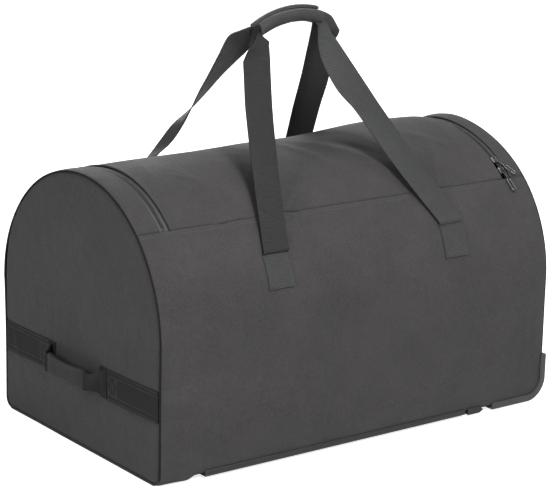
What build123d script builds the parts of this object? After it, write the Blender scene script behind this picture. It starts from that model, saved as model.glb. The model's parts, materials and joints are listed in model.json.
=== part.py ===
from build123d import *
from math import cos, radians, sin
import os

os.makedirs("parts", exist_ok=True)

# Driving dimensions, in millimetres. +X runs towards the wheels, the front faces -Y, the floor is z = 0.
length = 820.0  # end panel to end panel
shell_middle = 9.0  # middle of the shell, which centres the whole bag once its end handle is counted
arch_radius = 242.0  # outside of the rounded top; the bag is twice this deep
arch_centre = 226.0  # height of the arch's axis
base_height = 8.0  # underside of the cloth between the wheels and the sagging end
cloth = 3.0  # padded cloth panel
seam_gap = 0.4  # between panels that fold against each other
left_end = shell_middle - length / 2
right_end = shell_middle + length / 2
depth = arch_radius

# Angles run from the top of the arch, towards the front when negative.
front_seam = -45.0  # the lid folds here
back_seam = 52.0
zip_back = 42.0  # middle of the zip along the back
gusset_split = 30.0
zip_left = left_end + 55.0  # middle of the zip at each end
zip_right = right_end - 44.0
zip_corner = 40.0  # radius of the zip's two back corners
zip_plane_angle = 37.0  # the zip's corners are drawn square to this direction

coil_gap = 0.45  # each half of the coil stands this far from the zip's middle
coil_width = 3.0
coil_low, coil_high = arch_radius - 3.2, arch_radius - 0.8
tape_low, tape_high = arch_radius - 2.6, arch_radius - 1.6
tape_edge = 10.0  # cloth starts this far from the zip's middle
lid_zip_start = -32.5  # the lid's half of the zip starts here, past the parked sliders

piping = 2.4  # radius of the cord round each end
piping_room = 2 * piping + 0.1
lower_corner = 35.0  # the cloth's radius at the wheels' corner
sag_length = 55.0  # the cloth rests on the floor over this length at the end without wheels
sag_rise = 14.0

webbing = 2.5
webbing_width = 50.0
strap_fold = 60.0  # angle where the carrying straps leave the shell
patch_start, patch_end = 61.0, 74.0
front_feet = (shell_middle - 172.0, shell_middle + 200.0)
back_feet = (shell_middle - 200.0, shell_middle + 200.0)

grip_radius = 174.6  # the grip's arch, in the XZ plane
grip_x, grip_z = 45.8, 512.6
grip_from, grip_to = 123.7, 77.4
grip_depth, grip_height, grip_wall = 24.0, 28.0, 3.0
bar_depth, bar_height, bar_gap = 7.0, 20.0, 1.0

wheel_x = left_end + 755.0
wheel_y = -212.0
wheel_radius = 32.0
wheel_width = 26.0
axle_radius = 4.0
hub_radius = 24.0
bush_radius = 5.5
running_fit = 0.05
guard = 5.0  # thickness of the wheel housing's outer skin
guard_start = 300.0
guard_top = 85.0
guard_width = 75.0
flange = 3.0
flange_height = 7.0
well_wall = 2.5
well_half = 40.0
well_width = 42.0
well_top = 71.0

board_low = base_height + cloth
board_high = board_low + 4.0
rivet_radius = 2.0
rivet_head = 4.0
rivet_head_height = 1.2

slider_upper_angle = -35.0
slider_lower_angle = -41.0
slider_half = 1.66  # degrees
slider_half_width = 6.5
pull_length = 46.0
pull_skew = 32.0  # the upper pull hangs beside the lower slider
pin_height = 3.1  # the pull's crossbar above the arch
pin_radius = 0.8

band_low, band_high = 108.0, 160.0  # end panel's sewn band
band_opening = 70.0  # the band stops this far from the middle, either side of the handle
handle_stand = 28.0
handle_height = 34.0
pad_height = 39.0


def on_arch(radius, angle):
    return (radius * sin(radians(angle)), arch_centre + radius * cos(radians(angle)))


def save(piece, name):
    piece.part.label = name
    export_step(piece.part, f"parts/{name}.step")


def mirrored(piece):
    with BuildPart() as other:
        mirror(piece.part, about=Plane.XZ)
    return other


def arch_band(inner, outer, start, end, x):
    # a band of the arch, drawn across the bag at x
    with BuildSketch(Plane.YZ.offset(x)) as band:
        with BuildLine():
            CenterArc((0, arch_centre), outer, 90 - end, end - start)
            CenterArc((0, arch_centre), inner, 90 - end, end - start)
            Line(on_arch(inner, start), on_arch(outer, start))
            Line(on_arch(inner, end), on_arch(outer, end))
        make_face()
    return band.sketch


zip_plane = Plane(
    origin=(0, 0, arch_centre),
    x_dir=(1, 0, 0),
    z_dir=(0, sin(radians(zip_plane_angle)), cos(radians(zip_plane_angle))),
)


def zip_outline(grow):
    # the zip's U, grown outwards, seen square to its back corners
    back = arch_radius * sin(radians(zip_back - zip_plane_angle)) + grow
    front = -arch_radius - 30
    with BuildSketch(zip_plane) as outline:
        with Locations(((zip_left + zip_right) / 2, (front + back) / 2)):
            Rectangle(zip_right - zip_left + 2 * grow, back - front)
        fillet(outline.vertices().group_by(Axis.Y)[-1], zip_corner + grow)
    return outline.sketch


def end_outline(plane, radius, bottom):
    # an arch on straight sides, open at the bottom
    with BuildLine(plane) as outline:
        Line((-radius, bottom), (-radius, arch_centre))
        CenterArc((0, arch_centre), radius, 0, 180)
        Line((radius, arch_centre), (radius, bottom))
    return outline.line


# Shell ---------------------------------------------------------------------------------------
panel_start = left_end + piping_room
panel_end = right_end - piping_room
panel_length = panel_end - panel_start
sag_end = panel_start + sag_length

with BuildPart() as base_panel:
    with BuildSketch(Plane.XZ.offset(-depth + cloth)):
        with BuildLine():
            Polyline(
                (sag_end + sag_rise, base_height), (sag_end, 0), (panel_start, 0), (panel_start, board_low),
                (right_end - lower_corner, board_low),
            )
            RadiusArc(
                (right_end - lower_corner, board_low), (right_end - cloth, base_height + lower_corner),
                -(lower_corner - cloth),
            )
            Line((right_end - cloth, base_height + lower_corner), (right_end, base_height + lower_corner))
            RadiusArc(
                (right_end, base_height + lower_corner), (right_end - lower_corner, base_height), lower_corner
            )
            Line((right_end - lower_corner, base_height), (sag_end + sag_rise, base_height))
        make_face()
    extrude(amount=2 * (depth - cloth))
    with BuildSketch(Plane.XY.offset(base_height)):
        with Locations((wheel_x, wheel_y), (wheel_x, -wheel_y)):
            Rectangle(2 * well_half + 0.4, well_width + 0.4)
    extrude(amount=lower_corner / 2, mode=Mode.SUBTRACT)

with BuildPart() as base_board:
    board_length = right_end - lower_corner - panel_start - 4
    with BuildSketch(Plane.XY.offset(board_low)):
        with Locations((panel_start + 4 + board_length / 2, 0)):
            Rectangle(board_length, 2 * (depth - cloth) - 4)
        with Locations((wheel_x, wheel_y), (wheel_x, -wheel_y)):
            Rectangle(2 * well_half + 0.4, well_width + 0.4, mode=Mode.SUBTRACT)
    extrude(amount=board_high - board_low)


def side_panel(seam):
    # straight wall and the lower part of the arch, front when the seam's angle is negative
    side = -1 if seam < 0 else 1
    start, end = (-90, seam) if seam < 0 else (seam, 90)
    with BuildPart() as panel:
        extrude(arch_band(arch_radius - cloth, arch_radius, start, end, panel_start), panel_length, dir=(1, 0, 0))
        with BuildSketch(Plane.YZ.offset(panel_start)):
            with Locations((side * (depth - cloth / 2), (base_height + arch_centre) / 2)):
                Rectangle(cloth, arch_centre - base_height)
        extrude(amount=panel_length)
        corner = panel.edges().filter_by(Axis.Y).group_by(Axis.Z)[0].sort_by(Axis.X)[-1]
        fillet(corner, lower_corner - piping_room)
        with BuildSketch(Plane.YZ.offset(panel_start)):
            with Locations((side * (depth - cloth / 2), base_height / 2 + 0.5)):
                Rectangle(cloth, base_height - 1)
        extrude(amount=sag_length)
    return panel


front_panel = side_panel(front_seam)
back_panel = side_panel(back_seam)


def end_panel(x, bottom, holes=()):
    with BuildPart() as panel:
        with BuildSketch(Plane.YZ.offset(x)):
            with BuildLine():
                add(end_outline(Plane.XY, arch_radius - piping_room, bottom))
                Line((-arch_radius + piping_room, bottom), (arch_radius - piping_room, bottom))
            make_face()
            for place in holes:
                with Locations(place):
                    Circle(rivet_radius + 0.1, mode=Mode.SUBTRACT)
        extrude(amount=cloth)
    return panel


# Places of the wheel housings' rivets: (x, y) underneath and (y, z) on the end.
bottom_rivets = [(guard_start + 7, -220), (guard_start + 7, -190), (guard_start + 55, -181), (380, -181)]
end_rivets = [(-225, 66), (-185, 66)]
rivet_holes = bottom_rivets + [(x, -y) for x, y in bottom_rivets]
end_rivet_holes = end_rivets + [(-y, z) for y, z in end_rivets]

left_end_panel = end_panel(left_end + 0.9, 5.2)
right_end_panel = end_panel(right_end - 0.9 - cloth, base_height + lower_corner + 0.2, end_rivet_holes)


def end_piping(x, bottom):
    path = end_outline(Plane.YZ.offset(x), arch_radius - piping, bottom)
    with BuildPart() as cord:
        with BuildSketch(Plane(origin=path @ 0, z_dir=path % 0)):
            Circle(piping)
        sweep(path=path)
    return cord


left_piping = end_piping(left_end + piping, 2.0)
right_piping = end_piping(right_end - piping, base_height + lower_corner)


def gusset(start_x, end_x, start, end):
    # cloth beside the zip, cut back to the zip's tape
    with BuildPart() as strip:
        extrude(arch_band(arch_radius - cloth, arch_radius, start, end, start_x), end_x - start_x, dir=(1, 0, 0))
        extrude(zip_outline(tape_edge), 2 * arch_radius, mode=Mode.SUBTRACT)
    return strip


left_gusset = gusset(panel_start, zip_left, front_seam, gusset_split)
right_gusset = gusset(zip_right, panel_end, front_seam, gusset_split)
back_gusset = gusset(panel_start, panel_end, gusset_split, back_seam)


def zip_strip(low, high, start, near, far):
    # a strip of the zip between two distances from its middle, towards the lid when negative
    with BuildPart() as strip:
        extrude(arch_band(low, high, start, back_seam, panel_start), panel_length, dir=(1, 0, 0))
        extrude(zip_outline(max(near, far)), 2 * arch_radius, mode=Mode.INTERSECT)
        extrude(zip_outline(min(near, far)), 2 * arch_radius, mode=Mode.SUBTRACT)
    return strip


body_zip_coil = zip_strip(coil_low, coil_high, front_seam + 0.8, coil_gap, coil_gap + coil_width)
body_zip_tape = zip_strip(tape_low, tape_high, front_seam + 0.2, coil_gap + coil_width, tape_edge)
lid_zip_coil = zip_strip(coil_low, coil_high, lid_zip_start, -coil_gap, -coil_gap - coil_width)
lid_zip_tape = zip_strip(tape_low, tape_high, lid_zip_start, -coil_gap - coil_width, -tape_edge)

with BuildPart() as lid_panel:
    lid_start = front_seam + 0.1
    extrude(
        arch_band(arch_radius - cloth, arch_radius, lid_start, back_seam, panel_start), panel_length, dir=(1, 0, 0)
    )
    extrude(zip_outline(-tape_edge), 2 * arch_radius, mode=Mode.INTERSECT)

with BuildPart() as zip_stops:
    stop_height = 1.4
    for x in (zip_left - coil_gap - coil_width / 2, zip_right + coil_gap + coil_width / 2):
        stop = arch_band(coil_high + 0.05, coil_high + stop_height, front_seam + 0.9, front_seam + 1.3, x - 1.5)
        extrude(stop, 3.0, dir=(1, 0, 0))


# Sliders and their pulls -----------------------------------------------------------------------
def slider(angle):
    start, end = angle - slider_half, angle + slider_half
    left = zip_right - slider_half_width
    width = 2 * slider_half_width
    wing_low, wing_gap = tape_high + 0.3, coil_gap + coil_width + 0.3
    plate_low, plate_high = arch_radius - 0.5, arch_radius + 1.3
    bridge_half, bridge_top = 0.95, arch_radius + 6.0
    with BuildPart() as body:
        extrude(arch_band(plate_low, plate_high, start, end, left), width, dir=(1, 0, 0))
        extrude(arch_band(coil_low - 2.1, coil_low - 0.3, start, end, left + 1), width - 2, dir=(1, 0, 0))
        post = arch_band(coil_low - 1, plate_low + 1, angle + 0.5, end - 0.1, zip_right - 0.35)
        extrude(post, 0.7, dir=(1, 0, 0))
        for x in (left, zip_right + wing_gap):
            wing = arch_band(wing_low, plate_low + 1, start, end, x)
            extrude(wing, slider_half_width - wing_gap, dir=(1, 0, 0))
        bridge = arch_band(plate_high - 0.5, bridge_top, angle - bridge_half, angle + bridge_half, zip_right - 1.5)
        extrude(bridge, 3.0, dir=(1, 0, 0))
        window = arch_band(
            plate_high, bridge_top - 1.4, angle - bridge_half + 0.36, angle + bridge_half - 0.36, zip_right - 2
        )
        extrude(window, 4.0, dir=(1, 0, 0), mode=Mode.SUBTRACT)
    return body


slider_upper = slider(slider_upper_angle)
slider_lower = slider(slider_lower_angle)


def pull(angle, skew):
    # a wire link through the slider's bridge and a flat tail that hangs down the arch
    frame_half, frame_length = 3.6, 8.0
    tail_half, tail_thick = 3.0, 1.8
    y, z = on_arch(arch_radius + pin_height, angle)
    plane = Plane(
        origin=(zip_right, y, z),
        x_dir=(1, 0, 0),
        z_dir=(0, sin(radians(angle)), cos(radians(angle))),
    )
    with BuildPart() as piece:
        with BuildSketch(plane):
            with Locations((0, -frame_length / 2)):
                Rectangle(2 * frame_half, frame_length + 2 * pin_radius)
                Rectangle(2 * frame_half - 3.2, frame_length - 2 * pin_radius, mode=Mode.SUBTRACT)
        extrude(amount=pin_radius, both=True)
        with BuildSketch(plane):
            with Locations(Location((0, -frame_length, 0), (0, 0, skew))):
                with Locations((0, -(pull_length - frame_length) / 2)):
                    SlotOverall(pull_length - frame_length, 2 * tail_half, rotation=90)
        extrude(amount=tail_thick / 2, both=True)
        fillet(piece.edges().filter_by(Axis.X).group_by(SortBy.LENGTH)[0], 0.3)
    return piece


pull_upper = pull(slider_upper_angle, pull_skew)
pull_lower = pull(slider_lower_angle, 0)


# Carrying handles ---------------------------------------------------------------------------------
def arch_patches(inner, outer, start, end, feet):
    with BuildPart() as patches:
        for x in feet:
            extrude(
                arch_band(inner, outer, start, end, x - webbing_width / 2), webbing_width, dir=(1, 0, 0)
            )
    return patches


front_strap_patches = arch_patches(
    arch_radius + 0.05, arch_radius + webbing, -patch_end, -patch_start, front_feet
)
back_strap_patches = arch_patches(
    arch_radius + 0.05, arch_radius + webbing, patch_start, patch_end, back_feet
)
inner_patch = 8.0  # the inside patch is larger than the strap's end by this much, in degrees along the arch
inside = arch_radius - cloth - 0.05
front_backing_patches = arch_patches(inside - 1.5, inside, -patch_end - 3, -patch_start + 3, front_feet)
back_backing_patches = arch_patches(inside - 1.5, inside, patch_start - 3, patch_end + 3, back_feet)

strap_pivot_y, strap_pivot_z = on_arch(arch_radius + cloth, -strap_fold)
strap_top = Vector(0, -6.0, 658.0)


def carrying_handle(feet):
    # both legs of one handle and the folded webbing inside the grip, on the front side
    rise = Vector(0, strap_top.Y - strap_pivot_y, strap_top.Z - strap_pivot_z)
    height = rise.length
    taper, narrow = 60.0, 13.0
    plane = Plane(
        origin=(0, strap_pivot_y, strap_pivot_z),
        x_dir=(1, 0, 0),
        z_dir=Vector(1, 0, 0).cross(rise),
    )
    heads = (-66.0, 82.0)  # middle of each leg's top
    throats = ((-78.0, -65.0, 636.0, 661.0), (88.0, 98.0, 650.0, 684.0))  # x from, x to, z from, z to
    with BuildPart() as handle:
        for foot, head in zip(feet, heads):
            lean = (head - foot) / height
            bend = foot + lean * (height - taper)
            half = webbing_width / 2
            with BuildSketch(plane):
                with BuildLine():
                    Polyline(
                        (foot - half, 0), (bend - half, height - taper), (head - narrow, height),
                        (head + narrow, height), (bend + half, height - taper), (foot + half, 0), close=True,
                    )
                make_face()
            extrude(amount=webbing / 2, both=True)
        for x_from, x_to, z_from, z_to in throats:
            with BuildSketch(Plane.XY.offset(z_from)):
                with Locations(((x_from + x_to) / 2, -(bar_gap + 14) / 2)):
                    Rectangle(x_to - x_from, 14 - bar_gap)
            extrude(amount=z_to - z_from)
        over = 7.0
        with BuildLine(Plane.XZ) as path:
            CenterArc((grip_x, grip_z), grip_radius, grip_to - over + 1, grip_from - grip_to + 2 * over)
        with BuildSketch(Plane(origin=path.line @ 0, x_dir=(0, 1, 0), z_dir=path.line % 0)):
            with Locations((-bar_gap - bar_depth / 2, 0)):
                Rectangle(bar_depth, bar_height)
        sweep(path=path.line)
    return handle


front_strap = carrying_handle(front_feet)
back_strap = mirrored(carrying_handle(back_feet))

with BuildPart() as grip_sleeve:
    with BuildLine(Plane.XZ) as grip_path:
        CenterArc((grip_x, grip_z), grip_radius, grip_to, grip_from - grip_to)
    with BuildSketch(Plane(origin=grip_path.line @ 0, x_dir=(0, 1, 0), z_dir=grip_path.line % 0)):
        Rectangle(grip_depth, grip_height)
        with Locations((grip_wall, 0)):
            Rectangle(grip_depth, grip_height - 2 * grip_wall, mode=Mode.SUBTRACT)
    sweep(path=grip_path.line)

with BuildPart() as grip_flap:
    flap_from, flap_to = grip_from - 3.2, grip_to + 0.6
    with BuildLine(Plane.XZ) as flap_path:
        CenterArc((grip_x, grip_z), grip_radius, flap_to, flap_from - flap_to)
    with BuildSketch(Plane(origin=flap_path.line @ 0, x_dir=(0, 1, 0), z_dir=flap_path.line % 0)):
        with Locations((grip_depth / 2 + 0.4 + grip_wall / 2, 0)):
            Rectangle(grip_wall, grip_height)
    sweep(path=flap_path.line)

# End handle --------------------------------------------------------------------------------------------
band_outside = left_end + 0.9 - 0.05 - webbing
with BuildPart() as end_band:
    with BuildSketch(Plane.YZ.offset(band_outside)):
        with Locations((0, (band_low + band_high) / 2)):
            Rectangle(2 * (depth - piping_room) - 1, band_high - band_low)
            Rectangle(2 * band_opening, band_high - band_low + 1, mode=Mode.SUBTRACT)
    extrude(amount=webbing)

handle_out = left_end - handle_stand
handle_middle = (band_low + band_high) / 2
handle_face = handle_out + 3.75 + webbing / 2  # inner face of the handle's webbing
shoulder = 62.0
with BuildPart() as end_handle_roots:
    # sewn down beyond the shoulders and rising to them
    foot, sewn = 90.0, 10.0
    near = band_outside - 0.05
    for side in (-1, 1):
        with BuildSketch(Plane.XY.offset(handle_middle - 23)):
            with BuildLine():
                Polyline(
                    (near, side * foot), (near - webbing, side * foot),
                    (handle_face - webbing, side * (shoulder + 4)), (handle_face - webbing, side * shoulder),
                    (handle_face, side * shoulder), (near, side * (foot - sewn)), close=True,
                )
            make_face()
        extrude(amount=46)

with BuildPart() as end_handle:
    with BuildSketch(Plane.XZ.offset(-shoulder + seam_gap)):
        with Locations((handle_face - webbing / 2, handle_middle)):
            Rectangle(webbing, handle_height)
    extrude(amount=2 * (shoulder - seam_gap))

with BuildPart() as end_handle_pad:
    pad_half = 56.0
    with BuildSketch(Plane.XZ.offset(-pad_half)):
        with Locations((handle_out + 4.5, handle_middle)):
            RectangleRounded(9, pad_height, 3)
        with Locations((handle_face - webbing / 2, handle_middle)):
            Rectangle(webbing + 0.1, handle_height + 0.1, mode=Mode.SUBTRACT)
    extrude(amount=2 * pad_half)

# Runners, feet, wheel housings --------------------------------------------------------------------------
runner_from, runner_to = sag_end + 27.0, 237.0
with BuildPart() as front_runner:
    with BuildSketch(Plane.YZ.offset(runner_from)):
        with BuildLine():
            Polyline(
                (-depth + 20, base_height), (-depth + 20, base_height - 3), (-depth - 2.5, base_height - 3),
                (-depth - 2.5, base_height + 7), (-depth, base_height + 7), (-depth, base_height), close=True,
            )
        make_face()
    extrude(amount=runner_to - runner_from)
back_runner = mirrored(front_runner)

foot_from, foot_to = 243.0, 280.0
with BuildPart() as front_foot:
    with BuildSketch(Plane.XZ.offset(depth - 38)):
        with BuildLine():
            Polyline(
                (foot_from, base_height), (foot_from, 4.5), (foot_from + 1.5, 3), (foot_to - 10, 3),
                (foot_to, base_height), close=True,
            )
        make_face()
    extrude(amount=41)
    with BuildSketch(Plane.XZ.offset(depth)):
        with BuildLine():
            Polyline(
                (foot_from, 7), (foot_to - 2, 7), (foot_to - 8, base_height + 6.5),
                (foot_from, base_height + 6.5), close=True,
            )
        make_face()
    extrude(amount=3)
back_foot = mirrored(front_foot)

corner_x, corner_z = right_end - lower_corner, base_height + lower_corner


def guard_profile(inner, outer):
    # a strip that follows the cloth's lower corner, between two distances outside it
    with BuildSketch(Plane.XZ) as strip:
        with BuildLine():
            for grow in (inner, outer):
                Line((guard_start, base_height - grow), (corner_x, base_height - grow))
                CenterArc((corner_x, corner_z), lower_corner + grow, -90, 90)
                Line((right_end + grow, corner_z), (right_end + grow, guard_top))
            Line((guard_start, base_height - inner), (guard_start, base_height - outer))
            Line((right_end + inner, guard_top), (right_end + outer, guard_top))
        make_face()
    return strip.sketch


with BuildPart() as front_wheel_housing:
    extrude(guard_profile(0, guard).moved(Location((0, -depth, 0))), guard_width, dir=(0, 1, 0))
    extrude(guard_profile(-flange_height, guard).moved(Location((0, -depth, 0))), flange, dir=(0, -1, 0))
    with BuildSketch(Plane.XY.offset(base_height - 2)):
        with Locations((wheel_x, wheel_y)):
            Rectangle(2 * well_half, well_width)
    extrude(amount=well_top - base_height + 2)
    with BuildSketch(Plane.XY.offset(0)):
        with Locations((wheel_x, wheel_y)):
            Rectangle(2 * (well_half - well_wall), well_width - 2 * well_wall)
    extrude(amount=well_top - well_wall, mode=Mode.SUBTRACT)
    with BuildSketch(Plane.XZ.offset(-wheel_y - well_width)):
        with Locations((wheel_x, wheel_radius)):
            Circle(axle_radius + running_fit)
    extrude(amount=2 * well_width, mode=Mode.SUBTRACT)
    with BuildSketch(Plane.XY):
        with Locations(*bottom_rivets):
            Circle(rivet_radius + 0.1)
    extrude(amount=base_height, mode=Mode.SUBTRACT)
    with BuildSketch(Plane.YZ.offset(right_end)):
        with Locations(*end_rivets):
            Circle(rivet_radius + 0.1)
    extrude(amount=guard, mode=Mode.SUBTRACT)
back_wheel_housing = mirrored(front_wheel_housing)


def add_rivet(plane, height):
    # one rivet, from its outer head along the plane's normal
    with BuildPart() as rivet:
        with BuildSketch(plane):
            Circle(rivet_head)
        extrude(amount=-rivet_head_height)
        with BuildSketch(plane):
            Circle(rivet_radius)
        extrude(amount=height)
        with BuildSketch(plane.offset(height)):
            Circle(rivet_head)
        extrude(amount=rivet_head_height)
    return rivet.part


for piece in (base_panel, base_board):
    with piece:
        with BuildSketch(Plane.XY.offset(-1)):
            with Locations(*rivet_holes):
                Circle(rivet_radius + 0.1)
        extrude(amount=board_high + 2, mode=Mode.SUBTRACT)
with BuildPart() as front_rivets:
    for x, y in bottom_rivets:
        add(add_rivet(Plane((x, y, base_height - guard), z_dir=(0, 0, 1)), guard + board_high - base_height))
    for y, z in end_rivets:
        add(add_rivet(Plane((right_end + guard, y, z), z_dir=(-1, 0, 0)), guard + 0.9 + cloth))
back_rivets = mirrored(front_rivets)

# Wheels --------------------------------------------------------------------------------------------------
wheel_plane = Plane(origin=(wheel_x, wheel_y, wheel_radius), x_dir=(0, -1, 0), z_dir=(1, 0, 0))
half_wheel = wheel_width / 2
with BuildPart() as front_tyre:
    with BuildSketch(wheel_plane) as tread:
        with Locations((0, (wheel_radius + hub_radius) / 2)):
            Rectangle(wheel_width, wheel_radius - hub_radius)
        fillet(tread.vertices().group_by(Axis.Y)[-1], 5)
    revolve(axis=Axis((wheel_x, wheel_y, wheel_radius), (0, 1, 0)))

with BuildPart() as front_hub:
    with BuildSketch(wheel_plane):
        with BuildLine():
            Polyline(
                (-half_wheel, hub_radius), (half_wheel, hub_radius), (half_wheel - 1, hub_radius - 3),
                (3, hub_radius - 4), (3, 10), (half_wheel + 1, 9), (half_wheel + 1, bush_radius),
                (-half_wheel - 1, bush_radius), (-half_wheel - 1, 9), (-3, 10), (-3, hub_radius - 4),
                (-half_wheel + 1, hub_radius - 3), close=True,
            )
        make_face()
    revolve(axis=Axis((wheel_x, wheel_y, wheel_radius), (0, 1, 0)))

with BuildPart() as front_bushes:
    bush_length, bush_flange = 9.0, 1.5
    bore = axle_radius + running_fit
    for side in (-1, 1):
        face = side * (half_wheel + 1)
        with BuildSketch(wheel_plane):
            with BuildLine():
                Polyline(
                    (face - side * bush_length, bore), (face + side * bush_flange, bore),
                    (face + side * bush_flange, 7.5), (face, 7.5), (face, bush_radius),
                    (face - side * bush_length, bush_radius), close=True,
                )
            make_face()
        revolve(axis=Axis((wheel_x, wheel_y, wheel_radius), (0, 1, 0)))

axle_head = 1.8
axle_out = well_width / 2 + 0.05
with BuildPart() as front_axle:
    with BuildSketch(wheel_plane):
        with BuildLine():
            Polyline(
                (-axle_out - 2.4, 0), (axle_out + axle_head, 0), (axle_out + axle_head, 6.5), (axle_out, 6.5),
                (axle_out, axle_radius), (-axle_out - 2.4, axle_radius), close=True,
            )
        make_face()
    revolve(axis=Axis((wheel_x, wheel_y, wheel_radius), (0, 1, 0)))

with BuildPart() as front_axle_clip:
    with BuildSketch(Plane.XZ.offset(-wheel_y - well_width / 2 - 1.3)):
        with Locations((wheel_x, wheel_radius)):
            Circle(7)
            Circle(axle_radius + 0.02, mode=Mode.SUBTRACT)
    extrude(amount=1.2)

wheel_pieces = {
    "tyre": front_tyre,
    "hub": front_hub,
    "bushes": front_bushes,
    "axle": front_axle,
    "axle_clip": front_axle_clip,
}
for name, piece in wheel_pieces.items():
    save(piece, f"front_{name}")
    save(mirrored(piece), f"back_{name}")

pieces = {
    "base_panel": base_panel,
    "base_board": base_board,
    "front_panel": front_panel,
    "back_panel": back_panel,
    "left_end_panel": left_end_panel,
    "right_end_panel": right_end_panel,
    "left_piping": left_piping,
    "right_piping": right_piping,
    "left_gusset": left_gusset,
    "right_gusset": right_gusset,
    "back_gusset": back_gusset,
    "body_zip_coil": body_zip_coil,
    "body_zip_tape": body_zip_tape,
    "zip_stops": zip_stops,
    "lid_panel": lid_panel,
    "lid_zip_coil": lid_zip_coil,
    "lid_zip_tape": lid_zip_tape,
    "slider_upper": slider_upper,
    "slider_lower": slider_lower,
    "pull_upper": pull_upper,
    "pull_lower": pull_lower,
    "front_strap_patches": front_strap_patches,
    "back_strap_patches": back_strap_patches,
    "front_backing_patches": front_backing_patches,
    "back_backing_patches": back_backing_patches,
    "front_strap": front_strap,
    "back_strap": back_strap,
    "grip_sleeve": grip_sleeve,
    "grip_flap": grip_flap,
    "end_band": end_band,
    "end_handle_roots": end_handle_roots,
    "end_handle": end_handle,
    "end_handle_pad": end_handle_pad,
    "front_runner": front_runner,
    "back_runner": back_runner,
    "front_foot": front_foot,
    "back_foot": back_foot,
    "front_wheel_housing": front_wheel_housing,
    "back_wheel_housing": back_wheel_housing,
    "front_rivets": front_rivets,
    "back_rivets": back_rivets,
}
for name, piece in pieces.items():
    save(piece, name)
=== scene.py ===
import json
import math

import bpy
from mathutils import Matrix, Vector, noise
from mathutils.bvhtree import BVHTree

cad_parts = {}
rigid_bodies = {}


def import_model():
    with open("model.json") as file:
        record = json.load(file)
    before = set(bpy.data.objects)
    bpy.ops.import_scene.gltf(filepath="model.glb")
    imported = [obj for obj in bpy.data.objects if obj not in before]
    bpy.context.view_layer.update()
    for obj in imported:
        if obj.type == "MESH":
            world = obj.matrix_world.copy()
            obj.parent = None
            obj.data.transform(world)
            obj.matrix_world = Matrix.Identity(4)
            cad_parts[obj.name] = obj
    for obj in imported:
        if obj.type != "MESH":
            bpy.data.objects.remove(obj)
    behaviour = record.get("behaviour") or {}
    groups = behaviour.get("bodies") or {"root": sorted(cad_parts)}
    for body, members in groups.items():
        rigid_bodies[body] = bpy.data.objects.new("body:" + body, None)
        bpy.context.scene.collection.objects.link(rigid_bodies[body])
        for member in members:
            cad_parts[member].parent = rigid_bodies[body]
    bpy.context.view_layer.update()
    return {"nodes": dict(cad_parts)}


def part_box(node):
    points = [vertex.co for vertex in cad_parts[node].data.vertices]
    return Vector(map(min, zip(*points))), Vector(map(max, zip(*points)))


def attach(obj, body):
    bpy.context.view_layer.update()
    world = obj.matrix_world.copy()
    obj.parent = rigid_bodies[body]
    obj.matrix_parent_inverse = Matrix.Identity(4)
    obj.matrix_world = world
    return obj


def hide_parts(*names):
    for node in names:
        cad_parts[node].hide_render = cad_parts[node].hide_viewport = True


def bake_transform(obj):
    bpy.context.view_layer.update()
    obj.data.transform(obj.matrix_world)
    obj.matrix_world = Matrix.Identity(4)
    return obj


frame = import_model()

mm = 0.001
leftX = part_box("left_piping")[0][0]  # the shell's two ends
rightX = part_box("right_piping")[1][0]
radius = -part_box("front_panel")[0][1]  # outside of the arch
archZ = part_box("front_panel")[1][2] - radius * math.cos(math.radians(45))
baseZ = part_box("front_runner")[0][2] + 3 * mm  # underside of the cloth between the feet
frontSeam, backSeam, zipBack = -45.0, 52.0, 42.0  # degrees from the top of the arch
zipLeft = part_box("lid_zip_coil")[0][0] - 0.45 * mm
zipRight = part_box("lid_zip_coil")[1][0] + 0.45 * mm
zipCorner = 40 * mm
clothEdge = 10 * mm  # the cloth stops this far from the middle of the zip
degree = radius * math.pi / 180  # arc length of one degree over the top
print("frame read", [round(v, 4) for v in (leftX, rightX, radius, archZ, baseZ, zipLeft, zipRight)])


# helpers
def deselect():
    if bpy.context.mode != "OBJECT":
        bpy.ops.object.mode_set(mode="OBJECT")
    bpy.ops.object.select_all(action="DESELECT")


def activate(piece):
    deselect()
    piece.select_set(True)
    bpy.context.view_layer.objects.active = piece


def applyModifier(piece, kind, **values):
    activate(piece)
    modifier = piece.modifiers.new(kind.lower(), kind)
    for key, value in values.items():
        setattr(modifier, key, value)
    bpy.ops.object.modifier_apply(modifier=modifier.name)


def editAll(piece, *steps):
    activate(piece)
    bpy.ops.object.mode_set(mode="EDIT")
    bpy.ops.mesh.select_all(action="SELECT")
    for step in steps:
        step()
    bpy.ops.object.mode_set(mode="OBJECT")


def settle(piece):
    # place and size go into the mesh, the object itself stays at the origin
    activate(piece)
    bpy.ops.object.transform_apply(location=True, rotation=True, scale=True)
    return piece


def smoothBy(piece, angle=40):
    activate(piece)
    bpy.ops.object.shade_smooth_by_angle(angle=math.radians(angle))


def joined(name, pieces):
    activate(pieces[0])
    for piece in pieces:
        piece.select_set(True)
    if len(pieces) > 1:
        bpy.ops.object.join()
    result = bpy.context.view_layer.objects.active
    result.name = name
    return result


def gridPiece(name, cols, rows, place, size=(1, 1)):
    # a flat grid laid onto a surface: place(u, v) gives each point, and the UVs are in metres
    deselect()
    bpy.ops.mesh.primitive_grid_add(x_subdivisions=cols, y_subdivisions=rows, size=1)
    piece = bpy.context.active_object
    piece.name = name
    for point in piece.data.vertices:
        point.co = place(point.co.x + 0.5, point.co.y + 0.5)
    for corner in piece.data.uv_layers.active.data:
        corner.uv = (corner.uv[0] * size[0], corner.uv[1] * size[1])
    bpy.ops.object.shade_smooth()
    return piece


def finish(piece, body, materials, nodes=()):
    piece.data.materials.clear()
    for material in materials:
        piece.data.materials.append(material)
    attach(piece, body)
    if nodes:
        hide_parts(*nodes)
    return piece


def smooth(low, high, value):
    t = min(max((value - low) / (high - low), 0), 1)
    return t * t * (3 - 2 * t)


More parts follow.
